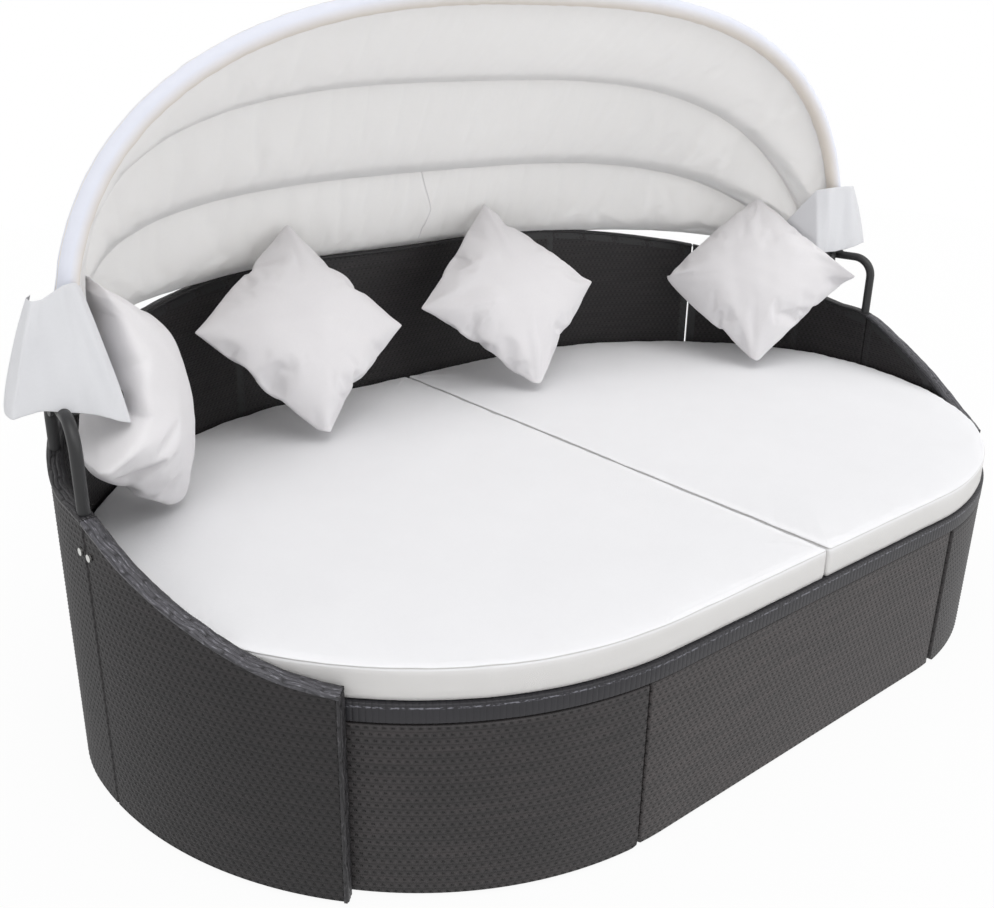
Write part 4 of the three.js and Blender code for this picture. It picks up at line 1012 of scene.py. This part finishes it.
def build_pillow(name):
    centre, across, above, seed, fullness = PILLOWS[name]
    obj = bag_mesh(f"{name}_cushion", seed)
    shape = settle(obj, PILLOW_STIFFNESS, pressure=2.6)
    shape -= (shape.max(axis=0) + shape.min(axis=0)) / 2
    shape[:, :2] *= PILLOW_SIDE / ((np.ptp(shape[:, 0]) + np.ptp(shape[:, 1])) / 2)
    shape[:, 2] *= PILLOW_THICKNESS / np.ptp(shape[:, 2])
    set_points(obj, shape)
    refine(obj)
    shape = finish_bag(get_points(obj.data), seed)
    across, above = Vector(across).normalized(), Vector(above).normalized()
    above = (above - across * above.dot(across)).normalized()
    u, v, w = shape.T
    local = joined((u - v) / math.sqrt(2), (u + v) / math.sqrt(2), w * fullness)
    placed = np.array(centre) + local @ np.array([across, above, across.cross(above)])
    low = SEAT_HEIGHT + SIT_FOLD - placed[:, 2]
    fold = np.clip(low / SIT_FOLD, 0, 1.4)
    out = np.clip(local[:, 0] / 0.01, -1, 1)
    placed += np.outer(SIT_SPREAD * fold ** 1.5 * out, across)
    placed[:, 2] += np.where(low > 0, low * SIT_SHARE * fold, 0)
    pressed = press(placed[:, 0], placed[:, 2])
    placed[:, 1] += PRESS_SLIDE[int(np.sign(centre[0]))] * (np.abs(placed[:, 0]) - np.abs(pressed))
    placed[:, 0] = pressed
    set_points(obj, placed)
    outward(obj)
    obj.data.polygons.foreach_set("use_smooth", [True] * len(obj.data.polygons))
    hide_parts(name)
    dress(obj, "base", LINEN)


# Canopy panels: front bow, rear bow, CAD node, start on the front bow (out, back), slack and seed
SHEETS = {
    "canopy_sheet_front": ("front_bow", "second_bow", "canopy_cloth_front", (0.0085, 0.0135), 0.006, 31),
    "canopy_sheet_middle": ("second_bow", "third_bow", "canopy_cloth_middle", (0.0085, 0.0085), 0.010, 32),
    "canopy_sheet_rear": ("third_bow", "rear_bow", "canopy_cloth_rear", (0.0085, 0.0085), 0.014, 33),
}
SHEET_COLUMNS = 181
SHEET_ROWS = 23
SHEET_SAG = 0.007
SHEET_MOVE = 0.022
SHEET_STIFFNESS = (20.0, 8.0, 3.0, 0.8)
CASING_RADIUS = 0.0122
CASING_SEAM = 0.024
CASING_TURN = math.radians(520)
THREAD_SHEET = "canopy_sheet_rear"
THREAD_SHARES = ((0.508, 0.04), (0.492, 0.25), (0.471, 0.50), (0.478, 0.72), (0.474, 0.90))
THREAD_RADIUS = 0.0007
# Creases pulled into the cloth, as two (share along, share across) places, a width and a depth in metres
CREASES = {
    "canopy_sheet_front": (
        ((0.800, 0.92), (0.760, 0.40), 0.012, -0.0018),
        ((0.215, 0.95), (0.240, 0.45), 0.012, -0.0018),
    ),
    "canopy_sheet_middle": (
        ((0.718, 0.44), (0.688, 0.62), 0.008, 0.0038),
        ((0.688, 0.62), (0.610, 0.64), 0.007, 0.0034),
        ((0.530, 0.70), (0.440, 0.67), 0.007, 0.0028),
        ((0.775, 0.66), (0.700, 0.69), 0.007, 0.0022),
        ((0.263, 0.04), (0.218, 0.52), 0.011, 0.0045),
        ((0.200, 0.42), (0.113, 0.55), 0.009, 0.0040),
        ((0.268, 0.74), (0.200, 0.95), 0.009, 0.0034),
        ((0.345, 0.15), (0.330, 0.60), 0.014, -0.0022),
    ),
    "canopy_sheet_rear": (
        ((0.905, 0.10), (0.860, 0.50), 0.012, 0.0060),
        ((0.860, 0.50), (0.815, 0.92), 0.012, 0.0060),
        ((0.810, 0.93), (0.750, 0.82), 0.008, 0.0050),
        ((0.750, 0.82), (0.690, 0.70), 0.008, 0.0045),
        ((0.668, 0.36), (0.520, 0.45), 0.008, 0.0036),
        ((0.520, 0.45), (0.370, 0.57), 0.009, 0.0036),
        ((0.655, 0.66), (0.485, 0.90), 0.008, 0.0036),
        ((0.790, 0.13), (0.700, 0.50), 0.014, -0.0040),
        ((0.176, 0.08), (0.146, 0.65), 0.009, 0.0050),
        ((0.160, 0.26), (0.120, 0.10), 0.008, 0.0045),
        ((0.083, 0.25), (0.094, 0.85), 0.010, 0.0050),
        ((0.300, 0.80), (0.255, 0.66), 0.009, 0.0045),
        ((0.255, 0.66), (0.195, 0.94), 0.009, 0.0045),
    ),
}
# Puckers beside a bow: first and last share along it, how far they reach across, depth
PUCKERS = {
    "canopy_sheet_front": (),
    "canopy_sheet_middle": ((0.785, 0.905, 0.30, 0.0030), (0.100, 0.170, 0.22, 0.0020)),
    "canopy_sheet_rear": ((0.800, 0.880, 0.22, 0.0022), (0.150, 0.230, 0.25, 0.0024)),
}
PUCKER_LENGTH = 0.027


def bow_point(name, angle, out=0.0, back=0.0):
    """A point at an angle along a bow's arch, moved outwards and backwards from its middle line."""
    nest, height, power, lean = BOWS[name]
    lean = math.radians(lean)
    wide = FRONT_BOW_HALF_SPAN - nest * BOW_PITCH + out
    tall = height + out
    sine, cosine = np.sin(angle), np.cos(angle)
    reach = ((np.abs(cosine) / wide) ** power + (np.abs(sine) / tall) ** power) ** (-1 / power)
    x, rise = reach * cosine, reach * sine
    y = PIVOT_Y + rise * math.sin(lean) + back * math.cos(lean)
    return joined(x, y, PIVOT_Z + rise * math.cos(lean) - back * math.sin(lean))


def bow_frame(name, angle):
    """Points along a bow's arch with unit directions outwards and backwards."""
    centre = bow_point(name, angle)
    lean = math.radians(BOWS[name][3])
    back = np.broadcast_to(np.array([0, math.cos(lean), -math.sin(lean)]), centre.shape)
    outer = np.cross(back, unit(np.gradient(centre, axis=0)))
    flip = np.sign(np.sum(outer * (bow_point(name, angle, 0.001) - centre), axis=1))
    return centre, outer * flip[:, None], back


def cloth_angles(name):
    """Angles along a bow between the two ends of its cloth."""
    root = math.asin(CLOTH_ROOT / (FRONT_BOW_HALF_SPAN - BOWS[name][0] * BOW_PITCH))
    return root + (math.pi - 2 * root) * np.linspace(0, 1, SHEET_COLUMNS)


def creased(name, uv_grid, length, width):
    """Depth of the cloth's creases and puckers over its grid, inwards."""
    size = np.array([length, width])
    depth = np.zeros(uv_grid.shape[:2])
    for first, last, reach, height in CREASES[name]:
        a = first * size
        step = last * size - a
        along = np.clip(((uv_grid - a) @ step) / (step @ step), 0, 1)
        far = np.linalg.norm(uv_grid - (a + along[..., None] * step), axis=2)
        swell = 0.45 + 0.55 * np.sin(math.pi * np.clip(along, 0.04, 0.96))
        depth += height * swell * np.exp(-(far / reach) ** 2)
    share, across = uv_grid[..., 0] / length, uv_grid[..., 1] / width
    for first, last, fade, height in PUCKERS[name]:
        window = np.clip((share - first) / 0.02, 0, 1) * np.clip((last - share) / 0.02, 0, 1)
        phase = 2 * math.pi * uv_grid[..., 0] / PUCKER_LENGTH + 2.2 * np.sin(uv_grid[..., 0] * 41)
        depth += height * window * np.sin(phase) * np.exp(-across / fade) * np.clip(across / 0.05, 0, 1)
    return depth


def fold_round(bow, angle, edge):
    """Where cloth coming from an edge meets its bow's inner side, and the fold that goes on round the bow."""
    centre, outer, back = bow_frame(bow, angle)
    reach = edge - centre
    b, o = np.sum(reach * back, axis=1), np.sum(reach * outer, axis=1)
    radius = CASING_RADIUS * (1 + 0.05 * soft_noise(joined(angle * 0.9, 0), 9, 0.10))
    start = np.arctan2(o, b) % (2 * math.pi) + np.arccos(radius / np.hypot(b, o))
    share = np.linspace(0, 1, 15)
    turn = (start[:, None] * (1 - share) + CASING_TURN * share)[..., None]
    away = np.cos(turn) * back[:, None] + np.sin(turn) * outer[:, None]
    fold = centre[:, None] + radius[:, None, None] * away
    meet = fold[:, 0]
    length = np.linalg.norm(edge - meet, axis=1)[:, None]
    seam = meet + unit(edge - meet) * np.minimum(CASING_SEAM, 0.45 * length) + outer * CLOTH_THICKNESS
    tail = [fold[:, -1] * (1 - t) + seam * t for t in (0.4, 0.75, 1.0)]
    return meet, np.concatenate([fold[:, 1:], np.stack(tail, 1)], axis=1)


def hang_panel(name, edge_a, edge_b, slack, seed):
    """The cloth between two edges, with its sag, creases and settled slack; gives its outward normals too."""
    t = np.linspace(0, 1, SHEET_ROWS)[None, :, None]
    grid = edge_a[:, None, :] * (1 - t) + edge_b[:, None, :] * t
    lengths = run(edge_a)
    middle = SHEET_COLUMNS // 2
    width = np.linalg.norm(edge_a[middle] - edge_b[middle])
    uv_grid = joined(lengths[:, None], width * t[:, :, 0])
    normals = grid_normals(grid)
    if normals[middle, SHEET_ROWS // 2][2] < 0:
        normals = -normals
    envelope = 4 * t * (1 - t)
    rough = soft_noise(uv_grid * np.array([1.0, 0.7]), seed, 0.16)[:, :, None]
    folds = creased(name, uv_grid, lengths[-1], width)[:, :, None] * np.clip(envelope * 5, 0, 1)
    grid = grid + normals * ((0.0016 * rough - SHEET_SAG) * envelope - folds)
    faces = grid_faces(SHEET_COLUMNS, SHEET_ROWS)
    draft = new_object(f"{name}_draft", grid.reshape(-1, 3), faces, uv_grid.reshape(-1, 2))
    index = np.arange(SHEET_COLUMNS * SHEET_ROWS).reshape(SHEET_COLUMNS, SHEET_ROWS)
    pins = np.unique(np.concatenate([index[:, 0], index[:, -1], index[0], index[-1]]))
    shape = settle(draft, SHEET_STIFFNESS, pins, gravity=0.25, shrink=-slack, quality=8)
    moved = shape.reshape(grid.shape) - grid
    far = np.linalg.norm(moved, axis=2)[:, :, None]
    grid = grid + moved * np.minimum(1.0, SHEET_MOVE / np.maximum(far, 1e-9))
    bpy.data.objects.remove(draft)
    return grid, normals


def build_sheet(name):
    front, rear, replaced, (start_out, start_back), slack, seed = SHEETS[name]
    edge_a = bow_point(front, cloth_angles(front), start_out, start_back)
    edge_b, fold = fold_round(rear, cloth_angles(rear), edge_a)
    panel, normals = hang_panel(name, edge_a, edge_b, slack, seed)
    grid = np.concatenate([panel, fold], axis=1)
    lengths = run(edge_a)
    obj = thick_sheet(name, grid, joined(lengths[:, None], run(grid[SHEET_COLUMNS // 2])[None, :]))
    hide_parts(replaced)
    dress(obj, None, CANVAS_FRONT_PAINTED_LIGHTER if front == "front_bow" else CANVAS)
    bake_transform(obj)
    if name == THREAD_SHEET:
        build_thread(panel, -normals)


def build_thread(grid, inwards):
    """A loose thread hanging down the inside of the rear panel."""
    path = []
    for share, across in smooth_line(THREAD_SHARES, 60):
        i, j = share * (SHEET_COLUMNS - 1), across * (SHEET_ROWS - 1)
        low, left = int(i), int(j)
        point = grid[low, left] * (1 - i + low) + grid[low + 1, left] * (i - low)
        point = point + (grid[low, left + 1] - grid[low, left]) * (j - left)
        path.append(point + inwards[low, left] * (CLOTH_THICKNESS / 2 + THREAD_RADIUS))
    obj = dress(swept_tube("loose_thread", path, THREAD_RADIUS, 6), None, LINEN)
    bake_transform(obj)


def build_sleeve():
    """Padded cloth wrapped round the front bow."""
    angles = np.linspace(SLEEVE_ROOT_ANGLE, math.pi - SLEEVE_ROOT_ANGLE, 260)
    centre, outer, back = bow_frame("front_bow", angles)
    sides = np.linspace(0, 2 * math.pi, 22, endpoint=False)
    wave = soft_noise(joined(run(centre)[:, None], sides * SLEEVE_RADIUS * 0.6), 41, 0.05)
    reach = SLEEVE_RADIUS * (1 + 0.035 * wave)[:, :, None]
    turn = sides[None, :, None]
    rings = centre[:, None] + reach * (np.cos(turn) * outer[:, None] + np.sin(turn) * back[:, None])
    obj = ring_body("front_sleeve", rings)
    dress(obj, "front_bow", SLEEVE)
    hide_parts("front_bow_sleeve")


# Canopy brackets: an inverted U of tube on each side
BRACKET_STATIONS = (1.336, 1.149)
BRACKET_RADIUS = 0.0095
BRACKET_BEND = 0.045
BRACKET_ROOT = 0.010


def build_bracket(label, side):
    feet = [np.array(outline(side * station, -PANEL_THICKNESS / 2)) for station in BRACKET_STATIONS]
    lows = [float(shell_top(station)) - BRACKET_ROOT for station in BRACKET_STATIONS]
    span = np.linalg.norm(feet[1] - feet[0])
    shoulder = PIVOT_Z - BRACKET_BEND
    turn = np.linspace(0, math.pi / 2, 14)
    rounded = [(BRACKET_BEND * (1 - math.cos(a)), shoulder + BRACKET_BEND * math.sin(a)) for a in turn]
    places = [(0.0, z) for z in np.linspace(lows[0], shoulder, 8)[:-1]] + rounded
    places += [(span - d, z) for d, z in reversed(rounded)]
    places += [(span, z) for z in np.linspace(shoulder, lows[1], 8)[1:]]
    along = unit(feet[1] - feet[0])
    path = [(*(feet[0] + along * d), z) for d, z in places]
    obj = swept_tube(f"bracket_tube_{label}", path, BRACKET_RADIUS, 24)
    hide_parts(f"canopy_bracket_{label}")
    dress(obj, "base", STEEL)


# Corner flaps: folded cloth hanging from the sleeve's ends, as pairs of a top and a low point
FLAPS = {
    "left": (
        ((-0.884, 0.180, 0.712), (-0.880, 0.190, 0.660)),
        ((-0.908, 0.120, 0.790), (-0.880, 0.095, 0.604)),
        ((-0.922, 0.076, 0.811), (-0.881, 0.034, 0.600)),
        ((-0.932, 0.060, 0.816), (-0.900, 0.028, 0.608)),
        ((-0.940, 0.052, 0.818), (-0.930, 0.028, 0.624)),
        ((-0.955, 0.044, 0.818), (-0.966, 0.028, 0.636)),
        ((-0.986, 0.044, 0.802), (-1.010, 0.036, 0.646)),
        ((-0.998, 0.050, 0.800), (-1.052, 0.028, 0.642)),
        ((-0.998, 0.075, 0.800), (-1.050, 0.080, 0.650)),
        ((-0.980, 0.118, 0.796), (-1.020, 0.125, 0.656)),
    ),
    "right": (
        ((0.880, 0.156, 0.718), (0.880, 0.154, 0.710)),
        ((0.880, 0.084, 0.800), (0.880, 0.061, 0.655)),
        ((0.896, 0.062, 0.806), (0.905, 0.050, 0.650)),
        ((0.950, 0.050, 0.808), (0.975, 0.046, 0.650)),
        ((0.984, 0.050, 0.806), (1.052, 0.038, 0.662)),
        ((0.998, 0.078, 0.800), (1.050, 0.085, 0.652)),
        ((0.985, 0.118, 0.796), (1.025, 0.125, 0.656)),
    ),
}
FLAP_COLUMNS = 97
FLAP_ROWS = 27
FLAP_FLARE = 0.35
FLAP_RIPPLE = 0.0034
FLAP_STILL_X = 0.886
FLAP_FREE_WIDTH = 0.02


def build_flap(label):
    both = smooth_line(np.array(FLAPS[label]).reshape(-1, 6), FLAP_COLUMNS)
    top, low = both[:, None, :3], both[:, None, 3:]
    t = np.linspace(0, 1, FLAP_ROWS)[None, :, None]
    share = t * (1 - FLAP_FLARE) + FLAP_FLARE * np.sin(t * math.pi / 2)
    share = np.concatenate([share, share, t], axis=2)
    grid = top * (1 - share) + low * share
    lengths = run(low[:, 0])
    drop = np.linalg.norm((top - low)[FLAP_COLUMNS // 2])
    uv_grid = joined(lengths[:, None], drop * t[:, :, 0])
    free = np.clip(np.abs(grid[..., 0]) - FLAP_STILL_X, 0, FLAP_FREE_WIDTH) / FLAP_FREE_WIDTH
    ripple = soft_noise(uv_grid * np.array([1, 0.25]), 51, 0.075) * (0.25 + 0.75 * t[:, :, 0]) * free
    grid = grid + grid_normals(grid) * (FLAP_RIPPLE * ripple)[:, :, None]
    obj = thick_sheet(f"hanging_flap_{label}", grid, uv_grid)
    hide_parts(f"corner_flap_{label}")
    corner = grid[:-1, :-1]
    sides = np.linalg.norm(np.cross(grid[1:, :-1] - corner, grid[:-1, 1:] - corner), axis=2)
    dress(obj, "front_bow", FLAP)


build_shell()
build_front()
build_rim("wrapped_rim_front", RIM_SPLIT_STATION, 2 * HALF_PERIMETER - RIM_SPLIT_STATION, "seat_rim_front")
build_rim("wrapped_rim_rear", -RIM_SPLIT_STATION + PANEL_GAP, RIM_SPLIT_STATION - PANEL_GAP, "seat_rim_rear")
for label, side in (("left", -1), ("right", 1)):
    build_mattress(label, side)
    build_bracket(label, side)
    build_flap(label)
for name in PILLOWS:
    build_pillow(name)
for name in SHEETS:
    build_sheet(name)
build_sleeve()

# Camera
camera_data = bpy.data.cameras.new("camera")
camera_data.sensor_fit = "HORIZONTAL"
camera_data.sensor_width = SENSOR_WIDTH
camera_data.lens = SENSOR_WIDTH * CAMERA_FOCAL / IMAGE_WIDTH
camera_data.shift_x = (IMAGE_WIDTH / 2 - CAMERA_CENTRE[0]) / IMAGE_WIDTH
camera_data.shift_y = (CAMERA_CENTRE[1] - IMAGE_HEIGHT / 2) / IMAGE_WIDTH
forward = Vector((
    -math.sin(CAMERA_YAW) * math.cos(CAMERA_PITCH),
    math.cos(CAMERA_YAW) * math.cos(CAMERA_PITCH),
    math.sin(CAMERA_PITCH),
))
level = Vector((math.cos(CAMERA_YAW), math.sin(CAMERA_YAW), 0))
above = level.cross(forward)
right = level * math.cos(CAMERA_ROLL) + above * math.sin(CAMERA_ROLL)
up = above * math.cos(CAMERA_ROLL) - level * math.sin(CAMERA_ROLL)
camera = bpy.data.objects.new("camera", camera_data)
rotation = Matrix((right, up, -forward)).transposed().to_4x4()
camera.matrix_world = Matrix.Translation(CAMERA_PLACE) @ rotation
bpy.context.scene.collection.objects.link(camera)
bpy.context.scene.camera = camera

# Light: a white surround and two broad soft lamps, as strength, spread and turn in degrees
AMBIENT = 0.84
FLOOR_WHITENESS = 0.93
FLOOR_COLOR = (0.80, 0.80, 0.80)
FLOOR_REACH = 6
LAMPS = {
    "overhead": (0.95, 50, (26, -10, 0)),
    "front": (0.60, 60, (64, 0, 30)),
}


def ray_share(tree, *kinds):
    """One for rays of these kinds and zero for all others."""
    path = node(tree, "ShaderNodeLightPath")
    share = Shade(tree, path.outputs[kinds[0]])
    for kind in kinds[1:]:
        share = share.math("MAXIMUM", Shade(tree, path.outputs[kind]))
    return share


bpy.context.scene.view_settings.view_transform = "Standard"
world = bpy.data.worlds.new("surround")
bpy.context.scene.world = world
world.use_nodes = True
background = world.node_tree.nodes["Background"]
background.inputs["Color"].default_value = (1, 1, 1, 1)
seen = ray_share(world.node_tree, "Is Camera Ray", "Is Glossy Ray", "Is Transmission Ray")
feed(world.node_tree, background.inputs["Strength"], seen * (1 - AMBIENT) + AMBIENT)

for name, (energy, spread, turn) in LAMPS.items():
    lamp_data = bpy.data.lights.new(name, "SUN")
    lamp_data.energy = energy
    lamp_data.angle = math.radians(spread)
    lamp = bpy.data.objects.new(name, lamp_data)
    lamp.rotation_euler = [math.radians(a) for a in turn]
    bpy.context.scene.collection.objects.link(lamp)

corners = [(x * FLOOR_REACH, y * FLOOR_REACH, 0) for x, y in ((-1, -1), (1, -1), (1, 1), (-1, 1))]
floor = new_object("floor", corners, [(0, 1, 2, 3)], smooth=False)
floor_material, floor_shader, floor_tree = principled("floor", FLOOR_COLOR, 0.9, specular=0.1)
glow = node(floor_tree, "ShaderNodeEmission", Strength=1.0)
both = node(floor_tree, "ShaderNodeMixShader")
feed(floor_tree, both.inputs[0], ray_share(floor_tree, "Is Camera Ray", "Is Glossy Ray") * FLOOR_WHITENESS)
floor_tree.links.new(floor_shader.outputs[0], both.inputs[1])
floor_tree.links.new(glow.outputs[0], both.inputs[2])
floor_tree.links.new(both.outputs[0], floor_tree.nodes["Material Output"].inputs["Surface"])
floor.data.materials.append(floor_material)
